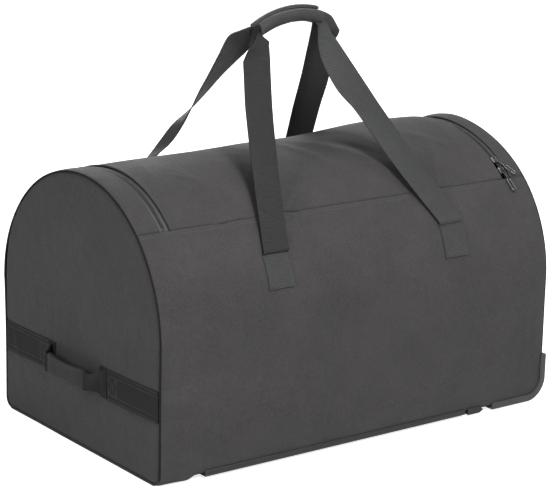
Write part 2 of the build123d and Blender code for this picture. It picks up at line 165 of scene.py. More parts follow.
def ridge(x, s, start, end, width):
    # 1 on the line from start to end, falling away to its sides and towards its ends
    line = Vector(end) - Vector(start)
    away = Vector((x, s)) - Vector(start)
    along = away.dot(line) / line.length_squared
    if along < -0.3 or along > 1.3:
        return 0
    aside = (away - line * along).length
    return math.exp(-((aside / width) ** 2)) * smooth(-0.3, 0.25, along) * smooth(1.3, 0.75, along)


def copies(name, pattern, places):
    # one small piece repeated: each copy has its own mesh, and all are joined into one piece
    activate(pattern)
    bpy.ops.object.shade_smooth()
    made = []
    for place in places:
        copy = pattern.copy()
        copy.data = pattern.data.copy()
        copy.data.transform(place)
        bpy.context.collection.objects.link(copy)
        made.append(copy)
    bpy.data.objects.remove(pattern)
    return joined(name, made)


def basis(at, along, up):
    # a matrix whose x runs along and whose z is up, as nearly as it can be
    x = along.normalized()
    y = up.cross(x).normalized()
    z = x.cross(y)
    return Matrix(((x.x, y.x, z.x, at.x), (x.y, y.y, z.y, at.y), (x.z, y.z, z.z, at.z), (0, 0, 0, 1)))


# materials
def group(name, inputs, outputs):
    tree = bpy.data.node_groups.new(name, "ShaderNodeTree")
    for key, kind, value in inputs:
        socket = tree.interface.new_socket(key, in_out="INPUT", socket_type=kind)
        if value is not None:
            socket.default_value = value
    for key, kind in outputs:
        tree.interface.new_socket(key, in_out="OUTPUT", socket_type=kind)
    return tree, tree.nodes.new("NodeGroupInput"), tree.nodes.new("NodeGroupOutput")


def wire(tree, kind, values=None, **links):
    node = tree.nodes.new(kind)
    for key, value in (values or {}).items():
        if hasattr(node, key):
            setattr(node, key, value)
        else:
            node.inputs[key].default_value = value
    for key, source in links.items():
        target = node.inputs[int(key[1:])] if key[1:].isdigit() else node.inputs[key]
        tree.links.new(source, target)
    return node


def maths(tree, operation, a, b=0.0, c=None):
    node = tree.nodes.new("ShaderNodeMath")
    node.operation = operation
    for index, value in enumerate((a, b, c)):
        if value is None:
            continue
        if isinstance(value, (int, float)):
            node.inputs[index].default_value = value
        else:
            tree.links.new(value, node.inputs[index])
    return node.outputs[0]


def makeWeave():
    # plain weave: threads over and under each other, from UVs in metres
    tree, given, out = group(
        "plainWeave",
        [("Vector", "NodeSocketVector", None), ("Pitch", "NodeSocketFloat", 0.0008)],
        [("Height", "NodeSocketFloat"), ("Tone", "NodeSocketFloat")],
    )
    split = wire(tree, "ShaderNodeSeparateXYZ", v0=given.outputs["Vector"])
    u = maths(tree, "DIVIDE", split.outputs[0], given.outputs["Pitch"])
    v = maths(tree, "DIVIDE", split.outputs[1], given.outputs["Pitch"])
    waveU = maths(tree, "SINE", maths(tree, "MULTIPLY", u, math.pi))
    waveV = maths(tree, "SINE", maths(tree, "MULTIPLY", v, math.pi))
    roundU = maths(tree, "ABSOLUTE", waveU)
    roundV = maths(tree, "ABSOLUTE", waveV)
    over = maths(tree, "MULTIPLY", waveU, waveV)
    side = maths(tree, "GREATER_THAN", over, 0.0)
    other = maths(tree, "SUBTRACT", 1.0, side)
    height = maths(tree, "ADD", maths(tree, "MULTIPLY", roundU, side), maths(tree, "MULTIPLY", roundV, other))
    tree.links.new(height, out.inputs["Height"])
    grain = wire(tree, "ShaderNodeTexNoise", {"Scale": 900.0, "Detail": 2.0}, Vector=given.outputs["Vector"])
    tone = maths(tree, "MULTIPLY_ADD", side, 0.35, maths(tree, "MULTIPLY", grain.outputs[0], 0.65))
    tree.links.new(tone, out.inputs["Tone"])
    return tree


def makeRibs():
    # webbing: ribs across the strap with fine threads along it
    tree, given, out = group(
        "webbingRibs",
        [
            ("Vector", "NodeSocketVector", None),
            ("Pitch", "NodeSocketFloat", 0.0028),
            ("Thread", "NodeSocketFloat", 0.0011),
        ],
        [("Height", "NodeSocketFloat"), ("Tone", "NodeSocketFloat")],
    )
    split = wire(tree, "ShaderNodeSeparateXYZ", v0=given.outputs["Vector"])
    u = maths(tree, "DIVIDE", split.outputs[0], given.outputs["Thread"])
    v = maths(tree, "DIVIDE", split.outputs[1], given.outputs["Pitch"])
    thread = maths(tree, "SINE", maths(tree, "MULTIPLY", u, 2 * math.pi))
    shift = maths(tree, "MULTIPLY", thread, 0.08)
    wave = maths(tree, "SINE", maths(tree, "MULTIPLY", maths(tree, "ADD", v, shift), math.pi))
    rib = maths(tree, "ABSOLUTE", wave)
    height = maths(tree, "ADD", maths(tree, "MULTIPLY", rib, 0.8), maths(tree, "MULTIPLY", thread, 0.12))
    tree.links.new(height, out.inputs["Height"])
    grain = wire(tree, "ShaderNodeTexNoise", {"Scale": 500.0, "Detail": 2.0}, Vector=given.outputs["Vector"])
    # the tone is darker in the grooves between the ribs and lighter on their crowns: painted shade
    grooveShade = maths(tree, "MULTIPLY_ADD", rib, 1.1, -0.3)
    tone = maths(tree, "ADD", grooveShade, maths(tree, "MULTIPLY", grain.outputs[0], 0.4))
    tree.links.new(tone, out.inputs["Tone"])
    return tree


def makeWear():
    # soft uneven dust and rubbing in object space
    tree, given, out = group(
        "softWear",
        [("Scale", "NodeSocketFloat", 9.0), ("Amount", "NodeSocketFloat", 1.0)],
        [("Mask", "NodeSocketFloat"), ("Fine", "NodeSocketFloat")],
    )
    place = tree.nodes.new("ShaderNodeTexCoord")
    broad = wire(
        tree, "ShaderNodeTexNoise", {"Detail": 4.0, "Roughness": 0.6},
        Vector=place.outputs["Object"], Scale=given.outputs["Scale"],
    )
    fine = wire(tree, "ShaderNodeTexNoise", {"Scale": 160.0, "Detail": 3.0}, Vector=place.outputs["Object"])
    centred = maths(tree, "SUBTRACT", broad.outputs[0], 0.5)
    tree.links.new(maths(tree, "MULTIPLY", centred, given.outputs["Amount"]), out.inputs["Mask"])
    tree.links.new(fine.outputs[0], out.inputs["Fine"])
    return tree


def makeCrumple():
    # soft creases and a mottled tone, as in padded woven cloth that has been packed
    tree, given, out = group(
        "crumple",
        [("Scale", "NodeSocketFloat", 1.0)],
        [("Height", "NodeSocketFloat"), ("Tone", "NodeSocketFloat")],
    )
    place = tree.nodes.new("ShaderNodeTexCoord")
    scaled = tree.nodes.new("ShaderNodeVectorMath")
    scaled.operation = "SCALE"
    tree.links.new(place.outputs["Object"], scaled.inputs[0])
    tree.links.new(given.outputs["Scale"], scaled.inputs["Scale"])
    vector = scaled.outputs[0]
    folds = wire(tree, "ShaderNodeTexNoise", {"Scale": 9.0, "Detail": 3.0, "Distortion": 1.2}, Vector=vector)
    small = wire(tree, "ShaderNodeTexNoise", {"Scale": 45.0, "Detail": 2.0, "Distortion": 0.8}, Vector=vector)
    slub = wire(tree, "ShaderNodeTexNoise", {"Scale": 330.0, "Detail": 2.0}, Vector=vector)
    creased = maths(tree, "ABSOLUTE", maths(tree, "SUBTRACT", folds.outputs[0], 0.5))
    height = maths(tree, "MULTIPLY_ADD", creased, -1.1, maths(tree, "MULTIPLY", small.outputs[0], 0.32))
    tree.links.new(height, out.inputs["Height"])
    tone = maths(tree, "MULTIPLY_ADD", slub.outputs[0], 0.8, maths(tree, "MULTIPLY", small.outputs[0], 0.2))
    tree.links.new(tone, out.inputs["Tone"])
    return tree


weaveGroup = makeWeave()
crumpleGroup = makeCrumple()
ribsGroup = makeRibs()
wearGroup = makeWear()


def shade(tree, low, high, factor):
    mix = tree.nodes.new("ShaderNodeMix")
    mix.data_type = "RGBA"
    mix.inputs[6].default_value = (*low, 1)
    mix.inputs[7].default_value = (*high, 1)
    tree.links.new(factor, mix.inputs[0])
    return mix.outputs[2]


def newMaterial(name, roughness, **constants):
    material = bpy.data.materials.new(name)
    material.use_nodes = True
    tree = material.node_tree
    shader = tree.nodes["Principled BSDF"]
    shader.inputs["Roughness"].default_value = roughness
    for key, value in constants.items():
        shader.inputs[key.replace("_", " ")].default_value = value
    return material, tree, shader


def threadMaterial(
    name, groupTree, pattern, low, high, roughness, bump, depth=0.0002, wear=0.16, crumple=0.0, mottle=0.0,
    **constants
):
    # cloth or webbing: thread pattern on UVs, unevenness in object space
    material, tree, shader = newMaterial(name, roughness, **constants)
    place = tree.nodes.new("ShaderNodeTexCoord")
    threads = tree.nodes.new("ShaderNodeGroup")
    threads.node_tree = groupTree
    for key, value in pattern.items():
        threads.inputs[key].default_value = value
    tree.links.new(place.outputs["UV"], threads.inputs["Vector"])
    uneven = tree.nodes.new("ShaderNodeGroup")
    uneven.node_tree = wearGroup
    uneven.inputs["Amount"].default_value = wear
    tone = maths(tree, "ADD", threads.outputs["Tone"], uneven.outputs["Mask"])
    threadHeight = threads.outputs["Height"]
    bumps = wire(tree, "ShaderNodeBump", {"Strength": bump, "Distance": depth}, Height=threadHeight)
    if crumple:
        creases = tree.nodes.new("ShaderNodeGroup")
        creases.node_tree = crumpleGroup
        centred = maths(tree, "SUBTRACT", creases.outputs["Tone"], 0.5)
        tone = maths(tree, "ADD", tone, maths(tree, "MULTIPLY", centred, mottle))
        foldHeight = creases.outputs["Height"]
        soft = wire(tree, "ShaderNodeBump", {"Strength": 1.0, "Distance": crumple}, Height=foldHeight)
        tree.links.new(soft.outputs[0], bumps.inputs["Normal"])
    tree.links.new(shade(tree, low, high, tone), shader.inputs["Base Color"])
    rough = maths(tree, "ADD", maths(tree, "MULTIPLY", uneven.outputs["Mask"], 0.5), roughness)
    tree.links.new(rough, shader.inputs["Roughness"])
    tree.links.new(bumps.outputs[0], shader.inputs["Normal"])
    return material


def solidMaterial(name, low, high, roughness, metallic=0.0, bump=0.1, grain=400.0, **constants):
    # moulded plastic, rubber or metal: fine grain and slight unevenness in object space
    material, tree, shader = newMaterial(name, roughness, **constants)
    shader.inputs["Metallic"].default_value = metallic
    uneven = tree.nodes.new("ShaderNodeGroup")
    uneven.node_tree = wearGroup
    uneven.inputs["Scale"].default_value = 40.0
    tone = maths(tree, "ADD", uneven.outputs["Fine"], uneven.outputs["Mask"])
    tree.links.new(shade(tree, low, high, tone), shader.inputs["Base Color"])
    rough = maths(tree, "ADD", maths(tree, "MULTIPLY", uneven.outputs["Mask"], 0.3), roughness)
    tree.links.new(rough, shader.inputs["Roughness"])
    place = tree.nodes.new("ShaderNodeTexCoord")
    speck = wire(tree, "ShaderNodeTexNoise", {"Scale": grain, "Detail": 2.0}, Vector=place.outputs["Object"])
    bumps = wire(tree, "ShaderNodeBump", {"Strength": bump, "Distance": 0.0002}, Height=speck.outputs[0])
    tree.links.new(bumps.outputs[0], shader.inputs["Normal"])
    return material


clothFinish = {
    "dark": (0.017, 0.0160, 0.0163), "light": (0.047, 0.0442, 0.0451), "roughness": 0.8,
    "pitch": 0.8 * mm, "bump": 0.6, "wear": 0.9, "crumple": 4 * mm, "mottle": 1.3,
}
shellCloth = threadMaterial(
    "shellCloth", weaveGroup, {"Pitch": clothFinish["pitch"]}, clothFinish["dark"], clothFinish["light"],
    clothFinish["roughness"], clothFinish["bump"], wear=clothFinish["wear"], crumple=clothFinish["crumple"],
    mottle=clothFinish["mottle"], Specular_IOR_Level=0.22, Sheen_Weight=0.05, Sheen_Roughness=0.5,
)
liningCloth = threadMaterial(
    "liningCloth", weaveGroup, {"Pitch": 1.1 * mm}, (0.008, 0.008, 0.0085), (0.018, 0.018, 0.019), 0.5, 0.25,
    Coat_Weight=0.15, Coat_Roughness=0.45,
)
webbingFinish = {
    "dark": (0.009, 0.0095, 0.0093), "light": (0.034, 0.0355, 0.0348),
    # the deep pair is the same webbing darkened: painted shade for webbing that faces away from the light
    "shadedDark": (0.004, 0.0042, 0.0041), "shadedLight": (0.0135, 0.0139, 0.0137),
    "ribs": {"Pitch": 2.8 * mm, "Thread": 1.1 * mm},
    "relief": {"roughness": 0.5, "bump": 0.9, "depth": 0.8 * mm, "wear": 0.7, "crumple": 1.5 * mm, "mottle": 1.6},
}
webbing = threadMaterial(
    "webbing", ribsGroup, webbingFinish["ribs"], webbingFinish["dark"], webbingFinish["light"],
    **webbingFinish["relief"], Specular_IOR_Level=0.35, Sheen_Weight=0.05, Sheen_Roughness=0.35,
)
# a darker copy of the webbing: painted shade for the front-left strap, its folds and the end handle's pad
shadedWebbing = threadMaterial(
    "shadedWebbing", ribsGroup, webbingFinish["ribs"], webbingFinish["shadedDark"], webbingFinish["shadedLight"],
    **webbingFinish["relief"], Specular_IOR_Level=0.3,
)
bindingCloth = threadMaterial(
    "bindingCloth", ribsGroup, {"Pitch": 1.2 * mm, "Thread": 0.9 * mm}, (0.003, 0.003, 0.003),
    (0.009, 0.009, 0.009), 0.8, 0.5, Specular_IOR_Level=0.15,
)
zipTapeCloth = threadMaterial(
    "zipTape", weaveGroup, {"Pitch": 0.9 * mm}, (0.020, 0.020, 0.020), (0.044, 0.044, 0.045), 0.6, 0.5,
)
threadBlack = solidMaterial("sewingThread", (0.030, 0.029, 0.029), (0.060, 0.058, 0.058), 0.6, bump=0.2)
coilPlastic = solidMaterial("zipCoil", (0.010, 0.010, 0.011), (0.024, 0.024, 0.025), 0.42)
zipMetal = solidMaterial("zipMetal", (0.055, 0.055, 0.057), (0.15, 0.15, 0.154), 0.26, metallic=0.9, bump=0.05)
guardPlastic = solidMaterial(
    "guardPlastic", (0.020, 0.020, 0.021), (0.036, 0.036, 0.038), 0.38, bump=0.25, grain=700.0,
)
runnerPlastic = solidMaterial("runnerPlastic", (0.006, 0.006, 0.006), (0.014, 0.014, 0.0145), 0.5, bump=0.2)
tyreRubber = solidMaterial(
    "tyreRubber", (0.010, 0.010, 0.010), (0.024, 0.024, 0.024), 0.72, bump=0.3, grain=500.0,
)
hubPlastic = solidMaterial("hubPlastic", (0.045, 0.045, 0.047), (0.075, 0.075, 0.078), 0.4, bump=0.15)
bushPlastic = solidMaterial("bushPlastic", (0.42, 0.41, 0.37), (0.56, 0.55, 0.50), 0.45)
axleSteel = solidMaterial("axleSteel", (0.42, 0.42, 0.43), (0.62, 0.62, 0.63), 0.32, metallic=1.0, bump=0.05)
boardPlastic = solidMaterial("boardPlastic", (0.016, 0.016, 0.016), (0.032, 0.032, 0.032), 0.6, bump=0.3)
print("materials made")


# the shell's shape
shellForm = {
    "cornerR": 35 * mm,  # at the wheels' lower corner
    "sagEnd": leftX + 60 * mm,  # the cloth rests on the floor up to here
    "sag": 6.5 * mm,
    "edgeR": 9 * mm,  # along the two lower edges
    "footR": 17 * mm,  # the same at the end with the handle, where the cloth slumps
    "cloth": 2.6 * mm,
    "stuffing": 3.2 * mm,  # how far the long walls are pushed out
    "leftBulge": 3.5 * mm,
    "rightBulge": 17 * mm,
    "bulgeHeight": 0.30,
}


def edgeRadius(x):
    grown = smooth(leftX + 90 * mm, leftX + 12 * mm, x)
    return shellForm["edgeR"] + (shellForm["footR"] - shellForm["edgeR"]) * grown


def bottomZ(x):
    # underside of the cloth along the bag
    corner = shellForm["cornerR"]
    if x > rightX - corner:
        return baseZ + corner - math.sqrt(max(corner**2 - (x - rightX + corner) ** 2, 0))
    sag = smooth(shellForm["sagEnd"] + 14 * mm, shellForm["sagEnd"] - 4 * mm, x)
    return baseZ - shellForm["sag"] * sag - 1.0 * mm * smooth(0.1, 0.35, x) * smooth(0.62, 0.4, x)


def spread(t):
    # closer rows near both ends of a panel
    return 0.45 * t + 0.55 * (0.5 - 0.5 * math.cos(math.pi * t))


def shellX(u):
    # along the bag: even steps, then steps round the lower corner at the wheels' end
    bend = 0.1
    start = leftX + 1.2 * mm
    last = rightX - shellForm["cornerR"]
    if u < 1 - bend:
        return start + (last - start) * (0.8 * u / (1 - bend) + 0.2 * spread(u / (1 - bend)))
    return last + (shellForm["cornerR"] - 1.2 * mm) * math.sin((u - 1 + bend) / bend * math.pi / 2)


wrinkles = [
    # along the bag, down the arc from the top (front negative), both in metres; then width and height
    ((0.362, -0.235), (0.385, -0.330), 0.011, 1.6 * mm),
    ((0.330, -0.215), (0.362, -0.300), 0.016, -1.4 * mm),
    ((0.395, -0.300), (0.400, -0.520), 0.010, 1.3 * mm),
    ((0.375, -0.420), (0.383, -0.600), 0.009, 1.2 * mm),
    ((0.352, -0.500), (0.362, -0.610), 0.008, -1.1 * mm),
    ((0.300, -0.560), (0.330, -0.610), 0.010, 1.0 * mm),
    ((-0.395, -0.480), (-0.350, -0.600), 0.014, 1.3 * mm),
    ((-0.200, -0.215), (-0.240, -0.300), 0.013, 1.2 * mm),
    ((-0.130, -0.215), (-0.095, -0.320), 0.013, 1.1 * mm),
    ((0.160, -0.215), (0.115, -0.310), 0.013, 1.2 * mm),
    ((0.245, -0.215), (0.285, -0.320), 0.013, 1.1 * mm),
    ((-0.145, -0.185), (-0.070, -0.040), 0.011, 4.2 * mm),
    ((-0.120, -0.195), (-0.015, -0.110), 0.009, 3.8 * mm),
    ((-0.105, -0.205), (-0.060, -0.150), 0.007, -3.0 * mm),
    ((-0.200, -0.190), (-0.245, -0.080), 0.012, 3.4 * mm),
    ((-0.225, -0.200), (-0.300, -0.130), 0.010, -3.0 * mm),
    ((0.030, -0.020), (0.150, -0.150), 0.012, 4.6 * mm),
    ((0.070, -0.010), (0.165, -0.110), 0.009, -3.6 * mm),
    ((-0.020, -0.010), (0.050, -0.130), 0.010, 3.2 * mm),
    ((0.215, -0.190), (0.270, -0.090), 0.012, 3.2 * mm),
    ((0.240, -0.040), (0.330, -0.120), 0.012, 2.2 * mm),
    ((-0.330, -0.150), (-0.290, -0.010), 0.012, 2.2 * mm),
    ((-0.325, -0.190), (-0.250, -0.100), 0.010, 1.8 * mm),
    ((0.335, -0.010), (0.322, -0.130), 0.009, 2.0 * mm),
    ((0.300, 0.020), (0.290, -0.080), 0.012, -1.6 * mm),
    ((0.353, -0.172), (0.345, -0.140), 0.009, -11 * mm),
    ((0.250, 0.250), (0.180, 0.330), 0.015, 1.3 * mm),
    ((-0.250, 0.260), (-0.160, 0.340), 0.015, 1.3 * mm),
    ((-0.350, 0.420), (-0.300, 0.560), 0.014, 1.4 * mm),
    ((0.340, 0.400), (0.300, 0.540), 0.014, 1.3 * mm),
]


def waviness(x, s):
    # uneven cloth: broad swells, finer puckers and the named creases
    swell = noise.noise(Vector((x * 4.2, s * 4.6, 1.7))) * 1.6 * mm
    pucker = noise.noise(Vector((x * 15, s * 11, 5.1))) * 0.45 * mm
    crease = sum(height * ridge(x, s, start, end, width) for start, end, width, height in wrinkles)
    return swell + pucker + crease


def seamDip(distance, depth=1.8 * mm, reach=4.5 * mm):
    return -depth * math.exp(-((distance / reach) ** 2))


def swell(x, s):
    # the top stands up towards the wheels' end and settles towards the other; the back shoulder there is full
    zipDip = 1 - 0.6 * math.exp(-(((x - zipRight) / (16 * mm)) ** 2))
    right = 9.5 * mm * smooth(0.05, 0.27, x) * zipDip * math.exp(-(((s - 0.055) / 0.085) ** 2))
    left = -3.2 * mm * smooth(0.0, -0.15, x) * math.exp(-(((s - 0.05) / 0.13) ** 2))
    shoulder = 5 * mm * smooth(-0.2, -0.36, x) * math.exp(-(((s - 0.32) / 0.1) ** 2))
    return right + left + shoulder


def shellPoint(x, s, lift):
    # s runs over the bag from the top of the arch, front negative; lift is outwards
    lift = lift + swell(x, s)
    side = -1 if s < 0 else 1
    quarter = radius * math.pi / 2
    away = abs(s)
    if away <= quarter:
        angle = away / radius
        return Vector((x, side * (radius + lift) * math.sin(angle), archZ + (radius + lift) * math.cos(angle)))
    down = away - quarter
    bend = edgeRadius(x)
    straight = archZ - bottomZ(x) - bend
    if down <= straight:
        return Vector((x, side * (radius + lift), archZ - down))
    turn = min((down - straight) / bend, math.pi / 2)
    reach = bend + lift
    y = radius - bend + reach * math.cos(turn)
    return Vector((x, side * y, bottomZ(x) + bend - reach * math.sin(turn)))


def wallLength(x):
    return radius * math.pi / 2 + archZ - bottomZ(x) + edgeRadius(x) * (math.pi / 2 - 1)


def sidePanel(name, seamAngle, cols, rows):
    # from the bottom edge up to a seam over the arch
    side = -1 if seamAngle < 0 else 1
    top = abs(seamAngle) * degree

    def place(u, v):
        x = shellX(u)
        bottom = wallLength(x)
        share = spread(1 - v if side < 0 else v)
        s = top + (bottom - top) * share
        ends = min(x - leftX, rightX - x)
        soft = 1 - math.exp(-ends / (50 * mm))
        body = soft * smooth(0, 90 * mm, s - top) * smooth(0, 120 * mm, bottom - s)
        lift = shellForm["stuffing"] * body + waviness(x, side * s) * soft * smooth(0, 30 * mm, bottom - s)
        lift += seamDip(ends) + seamDip(s - top, 0.5 * mm, 4 * mm)
        return shellPoint(x, side * s, lift)

    return gridPiece(name, cols, rows, place, (rightX - leftX, wallLength(0) - top))


def thicken(piece):
    # cloth inwards from its outer face, lined inside
    applyModifier(
        piece, "SOLIDIFY", thickness=shellForm["cloth"], offset=-1, material_offset=1, material_offset_rim=0,
        use_quality_normals=True,
    )


frontCloth = sidePanel("frontCloth", frontSeam, 150, 84)
thicken(frontCloth)
finish(frontCloth, "shell", [shellCloth, liningCloth], ["front_panel"])
backCloth = sidePanel("backCloth", backSeam, 130, 70)
thicken(backCloth)
finish(backCloth, "shell", [shellCloth, liningCloth], ["back_panel"])
print("side panels made")


def makeBase():
    def place(u, v):
        x = shellX(u)
        y = (radius - edgeRadius(x)) * (1 - 2 * v)
        lift = 0.5 * mm * noise.noise(Vector((x * 9, y * 9, 3)))
        return Vector((x, y, bottomZ(x) + lift))

    piece = gridPiece("baseCloth", 150, 60, place, (rightX - leftX, 2 * radius))
    thicken(piece)
    return piece


def cutWells(piece):
    # the base cloth is cut away round each wheel's well
    for node in ("front_wheel_housing", "back_wheel_housing"):
        middle = Vector(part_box(node.replace("wheel_housing", "tyre"))[0]) + Vector(
            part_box(node.replace("wheel_housing", "tyre"))[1]
        )
        middle /= 2
        editAll(
            piece, lambda: bpy.ops.mesh.select_mode(type="FACE"), lambda: bpy.ops.mesh.select_all(action="DESELECT"),
        )
        for polygon in piece.data.polygons:
            c = polygon.center
            polygon.select = abs(c.x - middle.x) < 39 * mm and abs(c.y - middle.y) < 20.5 * mm
        bpy.ops.object.mode_set(mode="EDIT")
        bpy.ops.mesh.delete(type="FACE")
        bpy.ops.mesh.select_mode(type="VERT")
        bpy.ops.object.mode_set(mode="OBJECT")


baseCloth = makeBase()
cutWells(baseCloth)
finish(baseCloth, "shell", [shellCloth, liningCloth], ["base_panel"])


leftCreases = [
    # across the panel and up, in metres, then width and height
    ((0.205, 0.150), (0.175, 0.045), 0.007, 1.5 * mm),
    ((0.222, 0.130), (0.200, 0.030), 0.008, -1.0 * mm),
    ((0.070, 0.100), (0.050, 0.020), 0.010, 0.9 * mm),
    ((-0.090, 0.100), (-0.100, 0.030), 0.010, 0.9 * mm),
    ((-0.215, 0.300), (-0.205, 0.190), 0.010, 1.2 * mm),
    ((0.100, 0.360), (0.060, 0.250), 0.016, 1.0 * mm),
    ((-0.120, 0.340), (-0.090, 0.200), 0.018, 0.9 * mm),
]


def endPanel(name, side, bulge):
    inset = 4.0 * mm  # inside the piping
    outer = (leftX if side < 0 else rightX) - side * 1.0 * mm
    reach = radius - inset
    bottom = bottomZ(leftX + 6 * mm) + 0.3 * mm if side < 0 else baseZ + shellForm["cornerR"]

    def place(u, v):
        y = side * reach * math.sin((u - 0.5) * math.pi)
        corner = min(max((abs(y) - reach + shellForm["footR"]) / shellForm["footR"], 0), 1)
        low = bottom + (0.85 * shellForm["footR"] * (1 - math.sqrt(1 - corner**2)) if side < 0 else 0)
        high = archZ + math.sqrt(max(reach**2 - y**2, 0))
        z = low + (high - low) * spread(v)
        over = max(z - archZ, 0)
        rise = swell(outer, math.atan2(y, over) * radius if over > 0 else radius * 1.57 * (1 if y > 0 else -1))
        scale = 1 + rise / reach * smooth(0, 0.12, over)
        edge = min(reach - math.hypot(y, over), z - low)
        soft = 1 - math.exp(-edge / (45 * mm))
        tall = max(0, 1 - ((z - shellForm["bulgeHeight"]) / 0.30) ** 2)
        dome = math.cos(y / reach * math.pi / 2) ** 0.7 * tall
        wave = noise.noise(Vector((y * 5, z * 4.5, 8.3 + side))) * 1.8 * mm
        wave += noise.noise(Vector((y * 16, z * 10, 2.3 + side))) * 0.6 * mm
        lift = bulge * dome * soft + wave * soft + seamDip(edge, 1.6 * mm, 4 * mm)
        if side < 0:
            lift -= 1.4 * mm * smooth(0.098, 0.110, z) * smooth(0.170, 0.158, z)
            lift += 1.6 * mm * smooth(0.03, 0.07, z) * smooth(0.108, 0.085, z) * soft
            lift += sum(h * ridge(y, z, a, b, w) for a, b, w, h in leftCreases) * soft
            tuck = max(1 - (z - low) / (12 * mm), 0)
            lift -= 7.5 * mm * (1 - math.sqrt(max(1 - tuck * tuck, 0)))
        else:
            near = 0.4 + 0.6 * smooth(0.16, -0.1, y)
            lift += 8 * mm * near * soft * math.exp(-(((z - 0.268) / 0.036) ** 2))
            lift -= 10 * mm * near * soft * math.exp(-(((z - 0.195) / 0.042) ** 2))
        return Vector((outer + side * lift, y * scale, archZ + over * scale if over > 0 else z))

    piece = gridPiece(name, 84, 84, place, (2 * reach, archZ + reach))
    thicken(piece)
    return piece


leftEndCloth = endPanel("leftEndCloth", -1, shellForm["leftBulge"])
finish(leftEndCloth, "shell", [shellCloth, liningCloth], ["left_end_panel"])
rightEndCloth = endPanel("rightEndCloth", 1, shellForm["rightBulge"])
finish(rightEndCloth, "shell", [shellCloth, liningCloth], ["right_end_panel"])
print("base and ends made", len(baseCloth.data.polygons), "faces in the base")


# lid and the cloth round the zip
def zipRoute(offset, steps=26):
    # the U of the zip, grown by offset: (x, s) pairs from the front left, round the back, to the front right
    left, right = zipLeft - offset, zipRight + offset
    back = zipBack * degree + offset
    bend = zipCorner + offset
    front = frontSeam * degree
    route = [(left, front + (back - bend - front) * i / 60) for i in range(60)]
    route += [
        (left + bend * (1 - math.cos(a)), back - bend * (1 - math.sin(a)))
        for a in (math.pi / 2 * i / steps for i in range(steps))
    ]
    count = 90
    route += [(left + bend + (right - left - 2 * bend) * i / count, back) for i in range(count)]
    route += [
        (right - bend * (1 - math.sin(a)), back - bend * (1 - math.cos(a)))
        for a in (math.pi / 2 * i / steps for i in range(steps))
    ]
    route += [(right, back - bend - (back - bend - front) * i / 60) for i in range(61)]
    return route


def makeSurround():
    inner = zipRoute(clothEdge)
    low, high = leftX + 1.2 * mm, rightX - 1.2 * mm
    back = backSeam * degree
    outer = []
    bend = zipCorner + clothEdge
    for x, s in inner:
        cornerS = zipBack * degree + clothEdge - bend
        cornerX = min(max(x, zipLeft - clothEdge + bend), zipRight + clothEdge - bend)
        if s <= cornerS:
            outer.append((low if x < 0 else high, s))
            continue
        away = Vector((x - cornerX, s - cornerS))
        if abs(away.x) < 1e-6:
            outer.append((x, back))
            continue
        toSide = ((low if away.x < 0 else high) - cornerX) / away.x
        toBack = (back - cornerS) / away.y
        reach = min(toSide, toBack)
        outer.append((cornerX + away.x * reach, cornerS + away.y * reach))
    last = len(inner) - 1

    def place(u, v):
        index = min(int(round(u * last)), last)
        (xi, si), (xo, so) = inner[index], outer[index]
        t = spread(v)
        x, s = xi + (xo - xi) * t, si + (so - si) * t
        edge = min(x - leftX, rightX - x)
        fromSeam = s - frontSeam * degree
        lift = 0.8 * mm * math.sin(math.pi * t) + seamDip(edge) + seamDip(back - s, 1.2 * mm, 3 * mm)
        lift += seamDip(fromSeam, 0.5 * mm, 4 * mm) + waviness(x, s) * 0.4 * math.sin(math.pi * min(t * 1.2, 1))
        lift += 0.8 * mm * math.exp(-(((t * (Vector((xo - xi, so - si)).length)) / (3 * mm)) ** 2))
        return shellPoint(x, s, lift)

    piece = gridPiece("zipSurround", last, 10, place, (1.9, 0.045))
    return piece


zipSurround = makeSurround()
editAll(zipSurround, lambda: bpy.ops.mesh.normals_make_consistent(inside=False))
oneFace = zipSurround.data.polygons[5]
if oneFace.normal.dot(Vector(oneFace.center) - Vector((0, 0, archZ))) < 0:
    editAll(zipSurround, bpy.ops.mesh.flip_normals)
thicken(zipSurround)
finish(
    zipSurround, "shell", [shellCloth, liningCloth], ["left_gusset", "right_gusset", "back_gusset"],
)


def makeLid():
    back = zipBack * degree - clothEdge
    bend = zipCorner - clothEdge
    left, right = zipLeft + clothEdge, zipRight - clothEdge
    front = frontSeam * degree + 0.4 * mm
    share = 0.14

    def place(u, v):
        if v < 1 - share:
            s = front + (back - bend - front) * (0.85 * v / (1 - share) + 0.15 * spread(v / (1 - share)))
            pull = 0
        else:
            turn = (v - 1 + share) / share * math.pi / 2
            s = back - bend + bend * math.sin(turn)
            pull = bend * (1 - math.cos(turn))
        x = left + pull + (right - left - 2 * pull) * (0.8 * u + 0.2 * spread(u))
        ends = min(x - left, right - x, back - s)
        soft = 1 - math.exp(-max(ends, 0) / (40 * mm))
        fromSeam = s - front
        lift = 3.0 * mm * soft * smooth(0, 80 * mm, fromSeam) + waviness(x, s) * (0.2 + 0.8 * soft)
        lift += 1.7 * mm * math.exp(-((ends / (4 * mm)) ** 2)) + seamDip(fromSeam, 0.5 * mm, 4 * mm)
        return shellPoint(x, s, lift)

    return gridPiece("lidCloth", 140, 74, place, (right - left, back - front))


lidCloth = makeLid()
thicken(lidCloth)
finish(lidCloth, "lid", [shellCloth, liningCloth], ["lid_panel"])
print("lid made")


# surfaces that later pieces lie on
def surfaceOf(*pieces):
    points, faces = [], []
    for piece in pieces:
        first = len(points)
        points += [point.co.copy() for point in piece.data.vertices]
        faces += [tuple(first + index for index in polygon.vertices) for polygon in piece.data.polygons]
    return BVHTree.FromPolygons(points, faces)


shellSurface = surfaceOf(frontCloth, backCloth, zipSurround)
lidSurface = surfaceOf(lidCloth)
leftSurface = surfaceOf(leftEndCloth)


